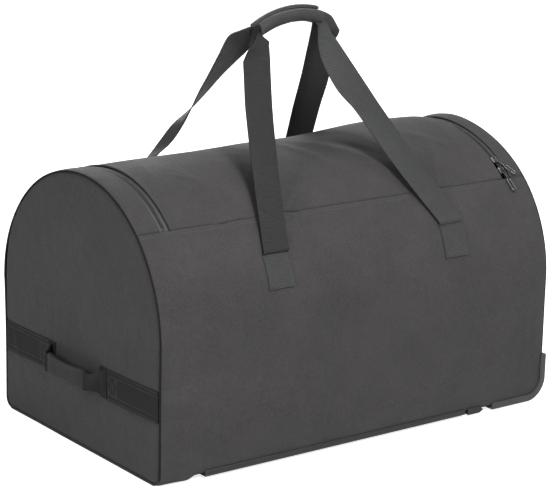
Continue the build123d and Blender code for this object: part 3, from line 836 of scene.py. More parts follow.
def onShell(x, s, tree=None, lift=0.0):
    # the outer face of the cloth at x along the bag and s down the arc
    outside = shellPoint(x, s, 30 * mm)
    inward = (shellPoint(x, s, 0) - outside).normalized()
    point, normal, index, distance = (tree or shellSurface).ray_cast(outside, inward, 60 * mm)
    if point is None:
        point, normal = shellPoint(x, s, 0), -inward
    return point - inward * lift, -inward


def insideOf(x, s, tree):
    # just under the inner face of the cloth, for strips and patches sewn inside
    inside = shellPoint(x, s, -40 * mm)
    outward = (shellPoint(x, s, 0) - inside).normalized()
    point, normal, index, distance = tree.ray_cast(inside, outward, 60 * mm)
    return (point if point else shellPoint(x, s, -3 * mm)) - outward * 0.7 * mm


def makeSeamBinding():
    # a strip of lining inside the lid's seam
    seam, reach = frontSeam * degree, 5 * mm
    left, right = zipLeft + clothEdge + 1 * mm, zipRight - clothEdge - 1 * mm

    def place(u, v):
        s = seam + 20 * mm * (0.5 - v)
        return insideOf(left + (right - left) * u, s, shellSurface if s < seam else lidSurface)

    piece = gridPiece("seamBinding", 140, 16, place, (right - left, 0.02))
    applyModifier(piece, "SOLIDIFY", thickness=0.8 * mm, offset=0)
    piece.data.materials.clear()
    piece.data.materials.append(liningCloth)
    shellPoint(0, seam - reach, 0)
    shellPoint(0, seam + reach, 0)
    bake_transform(piece)


makeSeamBinding()


def onLeft(y, z, lift=0.0):
    point, normal, index, distance = leftSurface.ray_cast(Vector((leftX - 0.05, y, z)), Vector((1, 0, 0)), 0.1)
    if point is None:
        point = Vector((leftX + 1 * mm, y, z))
    return point - Vector((lift, 0, 0)), Vector((-1, 0, 0))


stitchPlaces = {}


def stitchLine(body, path, pitch=3.3 * mm, sink=0.1 * mm):
    # path is a list of (point, normal); stitches are spaced evenly along it
    places = stitchPlaces.setdefault(body, [])
    carried = pitch / 2
    for (a, na), (b, _) in zip(path, path[1:]):
        step = b - a
        length = step.length
        if length < 1e-7:
            continue
        while carried < length:
            t = carried / length
            places.append(basis(a + step * t - na * sink, step, na))
            carried += pitch
        carried -= length


def boxStitch(body, where, low, high, pitch=3.3 * mm):
    # a sewn box with a cross in it; where(a, b) gives (point, normal) for the patch's two directions
    (a0, b0), (a1, b1) = low, high
    corners = [(a0, b0), (a1, b0), (a1, b1), (a0, b1), (a0, b0), (a1, b1)]
    runs = list(zip(corners, corners[1:])) + [((a0, b1), (a1, b0))]
    for (a, b), (c, d) in runs:
        count = 14
        line = [where(a + (c - a) * i / count, b + (d - b) * i / count) for i in range(count + 1)]
        stitchLine(body, line, pitch)


# piping
def tube(name, points, thickness, cyclic=False, resolution=3):
    curve = bpy.data.curves.new(name, "CURVE")
    curve.dimensions = "3D"
    curve.bevel_depth = thickness
    curve.bevel_resolution = resolution
    curve.use_fill_caps = not cyclic
    spline = curve.splines.new("POLY")
    spline.points.add(len(points) - 1)
    for target, point in zip(spline.points, points):
        target.co = (*point, 1)
    spline.use_cyclic_u = cyclic
    piece = bpy.data.objects.new(name, curve)
    bpy.context.collection.objects.link(piece)
    activate(piece)
    bpy.ops.object.convert(target="MESH")
    bpy.ops.object.shade_smooth()
    return bpy.context.view_layer.objects.active


pipingForm = {"thickness": 1.9 * mm, "inset": 2.3 * mm, "wobble": 0.5 * mm}


def pipingPath(x, bottom):
    reach = radius - pipingForm["inset"]
    points = []
    steps = 120
    bend = edgeRadius(x) if x < 0 else 5 * mm  # tighter above the wheels' guard

    def turnedIn(z):
        t = min(max(1 - (z - bottom) / bend, 0), 1)
        return bend * (1 - math.sqrt(1 - t * t))

    for i in range(41):
        z = bottom + (archZ - bottom) * (i / 40) ** 2
        points.append((x + 0.2 * turnedIn(z), -reach + turnedIn(z), z))
    for i in range(1, steps):
        a = math.pi * i / steps
        r = reach + swell(x, (a - math.pi / 2) * radius)
        points.append((x, -r * math.cos(a), archZ + r * math.sin(a)))
    for i in range(41):
        z = bottom + (archZ - bottom) * (1 - i / 40) ** 2
        points.append((x + 0.2 * turnedIn(z), reach - turnedIn(z), z))
    if x < 0:  # at the handle's end it also runs along the bottom
        run = reach - bend
        points += [(x + 0.2 * bend, run - 2 * run * i / 80, bottom) for i in range(1, 80)]
    uneven = []
    for px, py, pz in points:
        wobble = noise.noise(Vector((px * 3, py * 9, pz * 9))) * pipingForm["wobble"]
        uneven.append((px + wobble, py, pz))
    return uneven


leftPiping = tube("leftPiping", pipingPath(leftX + 2.8 * mm, baseZ - 4.2 * mm), pipingForm["thickness"], True)
finish(leftPiping, "shell", [bindingCloth], ["left_piping"])
rightRun = pipingPath(rightX - 2.6 * mm, baseZ + shellForm["cornerR"])
rightPiping = tube("rightPiping", rightRun, pipingForm["thickness"])
finish(rightPiping, "shell", [bindingCloth], ["right_piping"])
print("piping made")


# zip
zipForm = {
    "tapeWidth": 12.0 * mm,
    "tapeDepth": (-2.6 * mm, -3.0 * mm),  # at the coil and at the outer edge
    "tapeThickness": 0.9 * mm,
    "tooth": (0.78 * mm, 1.75 * mm, 1.0 * mm),
    "pitch": 1.9 * mm,
    "coilDepth": -1.9 * mm,
    "halfGap": 1.7 * mm,
    "lowEnd": -44.4,  # degrees from the top of the arch
    "openBelow": -32.5,  # where the parked sliders hold the two halves apart
    "openWidth": 6.6 * mm,
}


def routeFrame(offset, lift):
    return [shellPoint(x, s, lift) for x, s in zipRoute(offset)]


def zipTape(name, inner, outer):
    near, far = routeFrame(inner, zipForm["tapeDepth"][0]), routeFrame(outer, zipForm["tapeDepth"][1])
    last = len(near) - 1

    def place(u, v):
        index = min(int(round(u * last)), last)
        return near[index].lerp(far[index], v)

    piece = gridPiece(name, last, 4, place, (1.45, 0.012))
    applyModifier(piece, "SOLIDIFY", thickness=zipForm["tapeThickness"], offset=0)
    return piece


bodyTape = zipTape("bodyTape", 0.3 * mm, zipForm["tapeWidth"])
finish(bodyTape, "shell", [zipTapeCloth], ["body_zip_tape"])


def lidTape():
    # it lies open beside the parked sliders, at the lower right
    near = []
    for x, s in zipRoute(-0.3 * mm):
        beside = zipForm["openWidth"] if x > 0.3 and s < zipForm["openBelow"] * degree else 0
        near.append(shellPoint(x - beside, s, zipForm["tapeDepth"][0]))
    far = routeFrame(-zipForm["tapeWidth"], zipForm["tapeDepth"][1])
    last = len(near) - 1

    def place(u, v):
        index = min(int(round(u * last)), last)
        return near[index].lerp(far[index], v)

    piece = gridPiece("lidTape", last, 4, place, (1.45, 0.012))
    applyModifier(piece, "SOLIDIFY", thickness=zipForm["tapeThickness"], offset=0)
    return piece


finish(lidTape(), "lid", [zipTapeCloth], ["lid_zip_tape"])


def coil(name, offset, parked, shift):
    deselect()
    bpy.ops.mesh.primitive_uv_sphere_add(segments=7, ring_count=5, radius=1)
    tooth = bpy.context.active_object
    tooth.scale = zipForm["tooth"]
    settle(tooth)
    path = [(shellPoint(x, s, zipForm["coilDepth"]), s) for x, s in zipRoute(offset)]
    places = []
    carried = zipForm["pitch"] * shift
    for (a, sa), (b, _) in zip(path, path[1:]):
        step = b - a
        while carried < step.length:
            at = a + step * (carried / step.length)
            if sa > zipForm["lowEnd"] * degree and (at.x < 0.3 or sa > parked * degree):
                outward = Vector((0, at.y, at.z - archZ)).normalized()
                places.append(basis(at, step, outward))
            carried += zipForm["pitch"]
        carried -= step.length
    return copies(name, tooth, places)


bodyCoil = coil("bodyCoil", zipForm["halfGap"], zipForm["lowEnd"], 0.2)
finish(bodyCoil, "shell", [coilPlastic], ["body_zip_coil"])
lidCoil = coil("lidCoil", -zipForm["halfGap"], zipForm["openBelow"], 0.7)
finish(lidCoil, "lid", [coilPlastic], ["lid_zip_coil"])
zipRow = clothEdge + 2.6 * mm
for body, offset, tree in (("shell", zipRow, shellSurface), ("lid", -zipRow, lidSurface)):
    route = zipRoute(offset)
    stitchLine(body, [onShell(x, s, tree) for x, s in route if s > frontSeam * degree + 2 * mm])
print("zip made")


# webbing straps
def through(points, t, lengths):
    # a smooth curve through the points, t in the same units as their lengths along the strap
    last = len(points) - 1
    i = 0
    while i < last - 1 and lengths[i + 1] < t:
        i += 1
    span = max(lengths[i + 1] - lengths[i], 1e-9)
    f = min(max((t - lengths[i]) / span, 0), 1)

    def slope(k):
        low, high = max(k - 1, 0), min(k + 1, last)
        return (points[high] - points[low]) / max(lengths[high] - lengths[low], 1e-9) * span

    a, b, ma, mb = points[i], points[i + 1], slope(i), slope(i + 1)
    start, end = a * (2 * f**3 - 3 * f * f + 1), b * (3 * f * f - 2 * f**3)
    return start + ma * (f**3 - 2 * f * f + f) + end + mb * (f**3 - f * f)


strapForm = {"thickness": 2.2 * mm, "width": 50 * mm, "ripple": 0.5 * mm, "edge": 0.5 * mm, "columns": 16}


def softEdges(piece):
    applyModifier(
        piece, "BEVEL", width=strapForm["edge"], segments=2, angle_limit=math.radians(50), limit_method="ANGLE",
    )
    smoothBy(piece, 60)


def ribbon(name, edges, cup=(0,), rows=120, ripple=strapForm["ripple"], width=strapForm["width"], seed=0):
    # webbing between two edges given in millimetres, bowed across by cup
    first = [Vector(point) * mm for point in edges[0]]
    second = [Vector(point) * mm for point in edges[1]]
    cups = [Vector((value * mm, 0, 0)) for value in (cup if len(cup) > 1 else cup * len(first))]
    middle = [(a + b) / 2 for a, b in zip(first, second)]
    lengths = [0.0]
    for a, b in zip(middle, middle[1:]):
        lengths.append(lengths[-1] + (b - a).length)
    total = lengths[-1]

    def place(u, v):
        t = v * total
        a, b = through(first, t, lengths), through(second, t, lengths)
        a2, b2 = through(first, t + 2 * mm, lengths), through(second, t + 2 * mm, lengths)
        a1, b1 = through(first, t - 2 * mm, lengths), through(second, t - 2 * mm, lengths)
        normal = (b - a).cross((a2 + b2) - (a1 + b1))
        normal = normal.normalized() if normal.length > 1e-12 else Vector((0, 0, 1))
        bow = through(cups, t, lengths).x * 4 * u * (1 - u)
        wave = noise.noise(Vector((v * total * 14 + seed, u * 1.4, seed))) * ripple
        return a.lerp(b, u) + normal * (bow + wave)

    piece = gridPiece(name, strapForm["columns"], rows, place, (width, total))
    applyModifier(piece, "SOLIDIFY", thickness=strapForm["thickness"], offset=0)
    softEdges(piece)
    return piece


strapEdges = {
    "frontLeft": (
        [(-188, -213, 345), (-187.5, -217.5, 350), (-184, -209, 362), (-159, -148, 450),
         (-130, -82, 552), (-110, -47, 606), (-102, -34, 624), (-99, -32, 627),
         (-79, -22.5, 641), (-62, -15, 652), (-55, -7, 664), (-46, -3, 674)],
        [(-138, -213, 345), (-137.5, -217.5, 350), (-134, -209, 362), (-108, -148, 450),
         (-76, -83, 549), (-56, -49, 603), (-47, -35, 623), (-45.5, -32, 628),
         (-40, -20, 646), (-44, -13.5, 652), (-47, -7, 661), (-40, -3, 668)],
    ),
    "frontRight": (
        [(184, -213, 345), (183.5, -217.5, 350), (178, -209, 362), (136, -154, 440), (90, -93, 535),
         (71, -74, 563), (62, -57, 589), (58, -38, 618),
         (61, -25, 641), (68, -15, 656), (72, -8, 668), (68, -5, 675)],
        [(234, -213, 345), (233.5, -217.5, 350), (229, -209, 362), (192, -154, 440), (148, -92, 535),
         (135, -76, 563), (124, -59, 589), (112, -40, 618),
         (102, -26, 641), (96, -16, 655), (93, -8, 669), (85, -5, 680)],
    ),
    "backLeft": (
        [(-215, 213, 348.5), (-186, 202, 378), (-153, 176, 428), (-140, 153, 463), (-127, 135, 492),
         (-101, 116, 522),
         (-83, 97, 551), (-68, 74, 583), (-52, 56, 608), (-42, 42, 625), (-38, 24, 645), (-42, 7, 664)],
        [(-167, 213, 348.5), (-164, 180, 384), (-158, 138, 439), (-139, 123, 463), (-131, 103, 492),
         (-129, 76, 531),
         (-127, 56, 563), (-122, 40, 590), (-117, 16, 629), (-104, 5, 662), (-80, 4, 670), (-46, 4, 678)],
    ),
    "backRight": (
        [(185, 213, 348.5), (156, 205, 364), (133, 155, 437), (116, 116, 496), (99, 72, 560),
         (83, 34, 620), (73, 10, 662), (71, 5, 676)],
        [(233, 213, 348.5), (214, 206, 362), (193, 155, 438), (178, 115, 498), (165, 76, 556),
         (142, 40, 610), (124, 14, 640), (100, 6, 679)],
    ),
}
frontLeftStrap = ribbon(
    "frontLeftStrap", strapEdges["frontLeft"], (0, 0, 0, 0.8, 1, 0.5, 0, 0, -1.5, -2, -1, 0), seed=1,
)
frontRightStrap = ribbon(
    "frontRightStrap", strapEdges["frontRight"], (0, 0, 0, 1, 1.5, 2, 3, 4, 4, 2, 1, 0), seed=2,
)
backLeftStrap = ribbon("backLeftStrap", strapEdges["backLeft"], (0, 0, 0, 0, 0, 0, 0, 0, 0, 1, 1, 0), seed=3)
backRightStrap = ribbon("backRightStrap", strapEdges["backRight"], (0, 0, -0.5, -0.5, -1, -2, -1, 0), seed=4)
frontFold = ribbon(
    "frontFold",
    ([(-99, -30.5, 625), (-82, -21, 641), (-64, -14, 655), (-52, -7, 668)],
     [(-70, -40, 612), (-52, -28, 630), (-37.5, -17.5, 649), (-44, -12.5, 656)]),
    rows=40, width=0.03, seed=5,
)
backLoop = ribbon(
    "backLoop",
    ([(84, 1.5, 692), (96, 1, 688), (108, 1, 681), (120, 3, 667), (131, 6, 654)],
     [(84, 1, 668), (93, 1, 662), (101, 1.5, 657), (110, 3.5, 655), (121, 6.5, 649)]),
    (0, 1, 1.5, 1, 0), rows=50, width=0.025, seed=6,
)
backTuck = ribbon(
    "backTuck",
    ([(131, 5.5, 654), (130.5, 9, 646), (127, 14, 636)], [(102, 7, 664), (108, 10, 650), (118, 15, 628)]),
    rows=30, width=0.03, seed=7,
)
leftTuck = ribbon(
    "leftTuck",
    ([(-60, -2, 675), (-62, 0, 660), (-70, -4, 642)], [(-45, -4, 679), (-50, -6, 664), (-63, -12, 640)]),
    (0, 2, 0), rows=30, width=0.02, seed=8,
)
finish(joined("frontStrapRight", [frontRightStrap]), "front_handle", [webbing], ["front_strap"])
frontLeft = joined("frontStrapLeft", [frontLeftStrap, frontFold, leftTuck])
# the front-left strap and its folds take the darker webbing copy: painted shade
finish(frontLeft, "front_handle", [shadedWebbing], ["front_strap"])
backStraps = joined("backStraps", [backLeftStrap, backRightStrap, backLoop, backTuck])
finish(backStraps, "back_handle", [webbing], ["back_strap"])


patchForm = {
    "top": 60.3, "low": 74.2,  # degrees down the arc
    "width": 50 * mm, "thickness": 2.3 * mm,
    "frontFeet": (-163, 209), "backFeet": (-191, 209),  # middle of each strap's foot, millimetres along the bag
}


def patch(name, foot, side):
    top, low = patchForm["top"], patchForm["low"]

    def place(u, v):
        s = side * (top + (low - top) * v) * degree
        x = foot * mm + patchForm["width"] * (u - 0.5) * side
        point, normal = onShell(x, s, lift=1.5 * mm + 0.25 * mm * noise.noise(Vector((x * 40, s * 40, 0))))
        edge = min(u, 1 - u) * patchForm["width"]
        return point - normal * 0.5 * mm * math.exp(-((edge / (4 * mm)) ** 2))

    piece = gridPiece(name, 20, 26, place, (0.05, 0.058))
    applyModifier(piece, "SOLIDIFY", thickness=patchForm["thickness"], offset=0)
    softEdges(piece)

    def where(a, b):
        return onShell(foot * mm + a * mm, side * b * degree, lift=2.75 * mm)

    boxStitch("shell", where, (-20, 62.5), (20, 72.5))
    return piece


frontPatches = joined("frontPatches", [patch("frontPatch", foot, -1) for foot in patchForm["frontFeet"]])
finish(frontPatches, "shell", [webbing], ["front_strap_patches"])
backPatches = joined("backPatches", [patch("backPatch", foot, 1) for foot in patchForm["backFeet"]])
finish(backPatches, "shell", [webbing], ["back_strap_patches"])


def backing(name, foot, side):
    # a square of cloth sewn behind each strap, inside the bag
    def place(u, v):
        s = side * (60.5 + 16 * v) * degree
        return insideOf(foot * mm + patchForm["width"] * (u - 0.5) * -side, s, shellSurface)

    piece = gridPiece(name, 14, 14, place, (0.05, 0.07))
    applyModifier(piece, "SOLIDIFY", thickness=1.2 * mm, offset=0)
    smoothBy(piece, 60)
    return piece


frontBacking = joined("frontBacking", [backing("frontBacking", foot, -1) for foot in patchForm["frontFeet"]])
finish(frontBacking, "shell", [liningCloth], ["front_backing_patches"])
backBacking = joined("backBacking", [backing("backBacking", foot, 1) for foot in patchForm["backFeet"]])
finish(backBacking, "shell", [liningCloth], ["back_backing_patches"])
print("straps made")


# padded pieces
padding = {
    "pressure": 4.0, "frames": 20, "quality": 6, "mass": 0.2, "stretch": 12, "shear": 6, "bending": 0.6,
}


def puffed(piece, voxel, cap):
    # cloth simulation under light pressure, without gravity, then one subdivision
    activate(piece)
    piece.data.remesh_voxel_size = voxel
    bpy.ops.object.voxel_remesh()
    rest = [point.co.copy() for point in piece.data.vertices]
    modifier = piece.modifiers.new("cloth", "CLOTH")
    settings = modifier.settings
    settings.quality = padding["quality"]
    settings.mass = padding["mass"]
    settings.tension_stiffness = padding["stretch"]
    settings.compression_stiffness = padding["stretch"]
    settings.shear_stiffness = padding["shear"]
    settings.bending_stiffness = padding["bending"]
    settings.use_pressure = True
    settings.uniform_pressure_force = padding["pressure"]
    settings.effector_weights.gravity = 0
    modifier.collision_settings.use_collision = False
    modifier.point_cache.frame_start = 1
    modifier.point_cache.frame_end = padding["frames"]
    for number in range(1, padding["frames"] + 1):
        bpy.context.scene.frame_set(number)
    activate(piece)
    bpy.ops.object.modifier_apply(modifier=modifier.name)
    bpy.context.scene.frame_set(1)
    for point, was in zip(piece.data.vertices, rest):
        away = point.co - was
        if away.length > cap:
            point.co = was + away.normalized() * cap
    applyModifier(piece, "SMOOTH", factor=0.5, iterations=3)
    applyModifier(piece, "SUBSURF", levels=1, render_levels=1)
    activate(piece)
    bpy.ops.object.shade_smooth()
    return piece


def solidAlong(name, section, frames):
    # a grid rolled into a closed section along frames, each (origin, across, up, size), and capped
    around, last = len(section), len(frames) - 1

    def place(u, v):
        origin, across, up, size = frames[round(v * last)]
        a, b = section[round(u * around) % around]
        return origin + across * a * size + up * b * size

    piece = gridPiece(name, around, last, place)
    editAll(
        piece,
        lambda: bpy.ops.mesh.remove_doubles(threshold=1e-6),
        lambda: bpy.ops.mesh.fill_holes(sides=0),
        lambda: bpy.ops.mesh.select_all(action="SELECT"),
        lambda: bpy.ops.mesh.normals_make_consistent(inside=False),
    )
    return piece


def boxUnwrap(piece):
    editAll(piece, lambda: bpy.ops.uv.cube_project(cube_size=1.0, scale_to_bounds=False, correct_aspect=False))


gripArch = {"x": 45.8, "z": 512.6, "radius": 174.6, "from": 123.7, "to": 77.4}


def gripFrame(angle, grow=0.0):
    a = math.radians(angle)
    out = Vector((math.cos(a), 0, math.sin(a)))
    at = Vector((gripArch["x"], 0, gripArch["z"])) * mm + out * (gripArch["radius"] + grow) * mm
    return at, Vector((0, 1, 0)), out


def gripFrames(start, end, rise=(0, 0, 0), slant=0.0, count=44):
    # rise: how far the left end, the middle and the right end stand out from the arch
    frames = []
    for i in range(count + 1):
        t = i / count
        lift = rise[0] * (1 - t) * (1 - 2 * t) + rise[1] * 4 * t * (1 - t) + rise[2] * t * (2 * t - 1)
        at, across, out = gripFrame(start + (end - start) * t, lift)
        along = across.cross(out)
        frames.append((at, across, (out - along * slant * (1 - t) ** 6).normalized(), 1))
    return frames


# wraps the front, underneath and over the top, open at the back
sleeveSection = [
    (-9.5, -9.4), (-4, -10.2), (6, -10.0), (11.0, -9.0), (11.3, -5.6), (6, -5.8), (-4, -6.0), (-6.8, -4),
    (-6.8, 5), (-4, 6.4), (1, 6.9), (1.5, 10.6), (-4, 11.0), (-9.5, 10.2), (-12.2, 6), (-12.8, 0),
    (-12.2, -6),
]
gripSleeve = solidAlong(
    "gripSleeve", [(a * mm, b * mm) for a, b in sleeveSection],
    gripFrames(121.5, gripArch["to"] + 0.4, (7.5, 3.2, -1.5), -0.5),
)
puffed(gripSleeve, 2.2 * mm, 1.1 * mm)
boxUnwrap(gripSleeve)
finish(gripSleeve, "front_handle", [webbing], ["grip_sleeve"])

gripSurface = surfaceOf(gripSleeve)


def onGrip(angle, out, rise):
    at, across, outward = gripFrame(angle, rise + out)
    point, normal, index, distance = gripSurface.ray_cast(at + Vector((0, -0.04, 0)), Vector((0, 1, 0)), 0.06)
    return (point or at - Vector((0, 12.8 * mm, 0))), Vector((0, -1, 0))


for angle, rise in ((120.2, 7.1), (116.6, 6.4), (79.6, -1.0)):
    stitchLine("front_handle", [onGrip(angle - 0.12 * out, out, rise) for out in range(-8, 10)], 2.8 * mm)
for out in (-7.5, 8.0):
    stitchLine("front_handle", [onGrip(120.2 - 0.4 * i, out, 7.0 - 0.07 * i) for i in range(10)], 2.8 * mm)

# the flap closes the back and rolls over the top
flapSection = [
    (12.2, -12.6), (14.6, -12.8), (15.4, -6), (15.4, 6), (15.4, 12), (14.4, 15.6), (11.4, 17.8), (7.4, 18.2),
    (4.0, 17.2), (2.6, 14.8), (3.4, 12.4), (5.6, 11.6), (8.6, 11.8), (10.9, 10.6), (12.0, 8.6),
    (12.3, 5), (12.3, -6),
]
gripFlap = solidAlong(
    "gripFlap", [(a * mm, b * mm) for a, b in flapSection], gripFrames(121.6, 78.6, (1.4, 0.6, -1.6)),
)
puffed(gripFlap, 1.5 * mm, 0.6 * mm)
boxUnwrap(gripFlap)
finish(gripFlap, "grip_cover", [webbing], ["grip_flap"])

padSection = [
    (-3.6, -17.5), (-2.2, -19), (2.4, -19), (4.6, -17), (5.0, 0), (4.6, 17), (2.4, 19), (-2.2, 19),
    (-3.6, 17.5), (-3.9, 0),
]
padForm = {"x": -423.2, "z": 134.5, "half": 56, "sag": 2.0, "voxel": 2.6 * mm, "puff": 1.4 * mm, "fill": 0.5}
padFrames = []
for i in range(33):
    y = padForm["half"] * (i / 16 - 1)
    hang = math.cos(y / padForm["half"] * math.pi / 2)
    size = 1 - 0.16 * max(0, (abs(y) - padForm["half"] + 6) / 6) ** 2  # narrows at its ends
    middle = Vector((padForm["x"] - 0.8 * hang, y, padForm["z"] - padForm["sag"] * hang)) * mm
    padFrames.append((middle, Vector((1, 0, 0)), Vector((0, 0, 1)), size))
endPad = solidAlong("endPad", [(a * mm, b * mm) for a, b in padSection], padFrames)
puffed(endPad, padForm["voxel"], padForm["puff"])
boxUnwrap(endPad)
# the pad takes the darker webbing copy too: painted shade
finish(endPad, "side_handle", [shadedWebbing], ["end_handle_pad"])
padSurface = surfaceOf(endPad)
print("padded pieces made")


# end band and handle webbing
bandForm = {
    "from": 70.5 * mm, "to": 236 * mm,  # it is sewn down outside the handle only
    "low": 108 * mm, "height": 52 * mm, "thickness": 2.0 * mm, "hem": 9.5 * mm,
}


def bandPlace(u, v, side):
    y = side * (bandForm["from"] + (bandForm["to"] - bandForm["from"]) * u)
    z = bandForm["low"] + bandForm["height"] * v
    drift = 1.2 * mm * math.sin(y * 17 + 0.6) + 0.9 * mm * noise.noise(Vector((y * 12, 3.3, 0)))
    point, normal = onLeft(y, z + drift, lift=1.2 * mm)
    edge = min(v, 1 - v) * bandForm["height"]
    row = math.exp(-(((edge - bandForm["hem"]) / (1.2 * mm)) ** 2))
    return point + Vector((0.7 * mm * row + 0.5 * mm * math.exp(-((edge / (2 * mm)) ** 2)), 0, 0))


nearBand = gridPiece("nearBand", 58, 48, lambda u, v: bandPlace(u, v, -1), (0.166, 0.052))
farBand = gridPiece("farBand", 58, 48, lambda u, v: bandPlace(1 - u, v, 1), (0.166, 0.052))
endBand = joined("endBand", [nearBand, farBand])
applyModifier(endBand, "SOLIDIFY", thickness=bandForm["thickness"], offset=0)
smoothBy(endBand, 60)
bandFinish = threadMaterial(
    "bandCloth", ribsGroup, {"Pitch": 2.0 * mm, "Thread": 1.1 * mm}, (0.0035, 0.0034, 0.0034),
    (0.0135, 0.0132, 0.0132), 0.75, 0.6, Specular_IOR_Level=0.2,
)
finish(endBand, "shell", [bandFinish], ["end_band"])
bandSurface = surfaceOf(endBand)


def onBand(y, z):
    point, normal, index, distance = bandSurface.ray_cast(Vector((leftX - 0.05, y, z)), Vector((1, 0, 0)), 0.1)
    if point is None:
        point = Vector((leftX - 2 * mm, y, z))
    return point, Vector((-1, 0, 0))


for z in (110.0, 117.6, 150.6, 158.2):
    stitchLine("shell", [onBand(y * mm, z * mm) for y in range(-232, -91, 4)])
    stitchLine("shell", [onBand(y * mm, z * mm) for y in range(92, 234, 4)])

endEdges = {
    # webbing standing off the band: sewn down, then rising to the handle
    "nearRoot": (
        [(-403.4, -92, 110), (-403.8, -85, 111), (-406.5, -79, 114), (-413, -74, 118),
         (-421, -69, 120.5), (-425.0, -62.0, 118)],
        [(-403.4, -92, 158), (-404.2, -84, 157), (-408.5, -77, 153), (-415, -72, 150),
         (-422.5, -68, 148), (-425.0, -62.0, 150)],
    ),
    "farRoot": (
        [(-425.0, 62.0, 118), (-422, 68, 119), (-414, 73, 116), (-407, 79, 112), (-403.8, 85, 111),
         (-403.4, 92, 110)],
        [(-425.0, 62.0, 150), (-422, 68, 149), (-414, 73, 152), (-407, 79, 155), (-403.8, 85, 157),
         (-403.4, 92, 158)],
    ),
    "handle": (
        [(-424.6, -61.8, 118), (-424.8, -40, 117), (-425.2, 0, 116), (-424.8, 40, 117), (-424.6, 61.8, 118)],
        [(-424.6, -61.8, 150), (-424.8, -40, 149), (-425.2, 0, 148), (-424.8, 40, 149), (-424.6, 61.8, 150)],
    ),
}
rootWeb = {"rows": 46, "width": 46 * mm, "ripple": 0.9 * mm}
nearRoot = ribbon("nearRoot", endEdges["nearRoot"], (0, 0, 1.5, 3.5, 2.0, 0), seed=11, **rootWeb)
farRoot = ribbon("farRoot", endEdges["farRoot"], (0, 2.0, 3.5, 1.5, 0, 0), seed=12, **rootWeb)
finish(joined("handleRoots", [nearRoot, farRoot]), "shell", [bandFinish], ["end_handle_roots"])
handleWeb = ribbon("handleWeb", endEdges["handle"], rows=30, width=0.046, ripple=0, seed=13)
finish(handleWeb, "side_handle", [bandFinish], ["end_handle"])
for side in (-1, 1):
    boxStitch("shell", lambda a, b: onBand(a * mm, b * mm), (side * 97, 119), (side * 121, 149))


def onPad(y, z):
    point, normal, index, distance = padSurface.ray_cast(Vector((-0.46, y, z)), Vector((1, 0, 0)), 0.1)
    if point is None:
        point = Vector((-0.429, y, z))
    return point, Vector((-1, 0, 0))


for z in (118.5, 121.5, 147.5):
    stitchLine("side_handle", [onPad(y * mm, z * mm) for y in range(-54, 55, 3)])
print("end handle made")


# stitching
seamX = [leftX + 7 * mm + (rightX - leftX - 14 * mm) * i / 200 for i in range(201)]
for below in (2.6 * mm, 7.2 * mm):
    stitchLine("shell", [onShell(x, frontSeam * degree - below) for x in seamX])
for below in (3.0 * mm, 7.5 * mm):
    stitchLine("shell", [onShell(x, backSeam * degree + below) for x in seamX])
sewingThread = {"length": 2.6 * mm, "width": 1.0 * mm, "height": 0.8 * mm}
for body, places in stitchPlaces.items():
    deselect()
    bpy.ops.mesh.primitive_uv_sphere_add(segments=6, ring_count=4, radius=0.5)
    stitch = bpy.context.active_object
    stitch.scale = (sewingThread["length"], sewingThread["width"], sewingThread["height"])
    settle(stitch)
    bpy.ops.object.transform_apply(rotation=True)
    piece = copies("stitches_" + body, stitch, places)
    finish(piece, body, [threadBlack])
print("stitches made", {body: len(places) for body, places in stitchPlaces.items()})


# hard parts
def refined(node, body, material, bevel, segments=2, angle=28, bevelLimit=32):
    source = frame["nodes"][node]
    activate(source)
    bpy.ops.object.duplicate()
    piece = bpy.context.view_layer.objects.active
    piece.name = "fine_" + node
    bpy.ops.object.parent_clear(type="CLEAR_KEEP_TRANSFORM")
    settle(piece)
    bpy.ops.mesh.customdata_custom_splitnormals_clear()
    editAll(
        piece, lambda: bpy.ops.mesh.remove_doubles(threshold=2e-6),
        lambda: bpy.ops.mesh.tris_convert_to_quads(face_threshold=0.01, shape_threshold=0.7),
        lambda: bpy.ops.mesh.dissolve_limited(angle_limit=math.radians(0.4)),
        lambda: bpy.ops.mesh.normals_make_consistent(inside=False),
    )
    if bevel:
        applyModifier(
            piece, "BEVEL", width=bevel, segments=segments, limit_method="ANGLE",
            angle_limit=math.radians(bevelLimit), use_clamp_overlap=True,
        )
    smoothBy(piece, angle)
    return finish(piece, body, [material], [node])


for side in ("front", "back"):
    refined(side + "_wheel_housing", "shell", guardPlastic, 0.9 * mm, 3)
    refined(side + "_runner", "shell", runnerPlastic, 1.0 * mm, 3)
    refined(side + "_foot", "shell", runnerPlastic, 0.8 * mm, 3)
    refined(side + "_tyre", side + "_wheel", tyreRubber, 0.4 * mm)
    refined(side + "_hub", side + "_wheel", hubPlastic, 0.3 * mm)
for node, body in (("slider_upper", "upper_slider"), ("slider_lower", "lower_slider"), ("zip_stops", "shell")):
    refined(node, body, zipMetal, 0.35 * mm)


def loopPath(start, end, width, bend):
    # a rounded rectangle in the plane of the pull
    path = []
    for cx, cy, turn in ((end, width, 0), (end, -width, 1), (start, -width, 2), (start, width, 3)):
        for i in range(5):
            a = math.radians(90 - 90 * turn - 22.5 * i)
            x = cx + (-bend if turn < 2 else bend) + bend * math.cos(a)
            y = cy + (-bend if cy > 0 else bend) + bend * math.sin(a)
            path.append((x * mm, y * mm, 0))
    return path


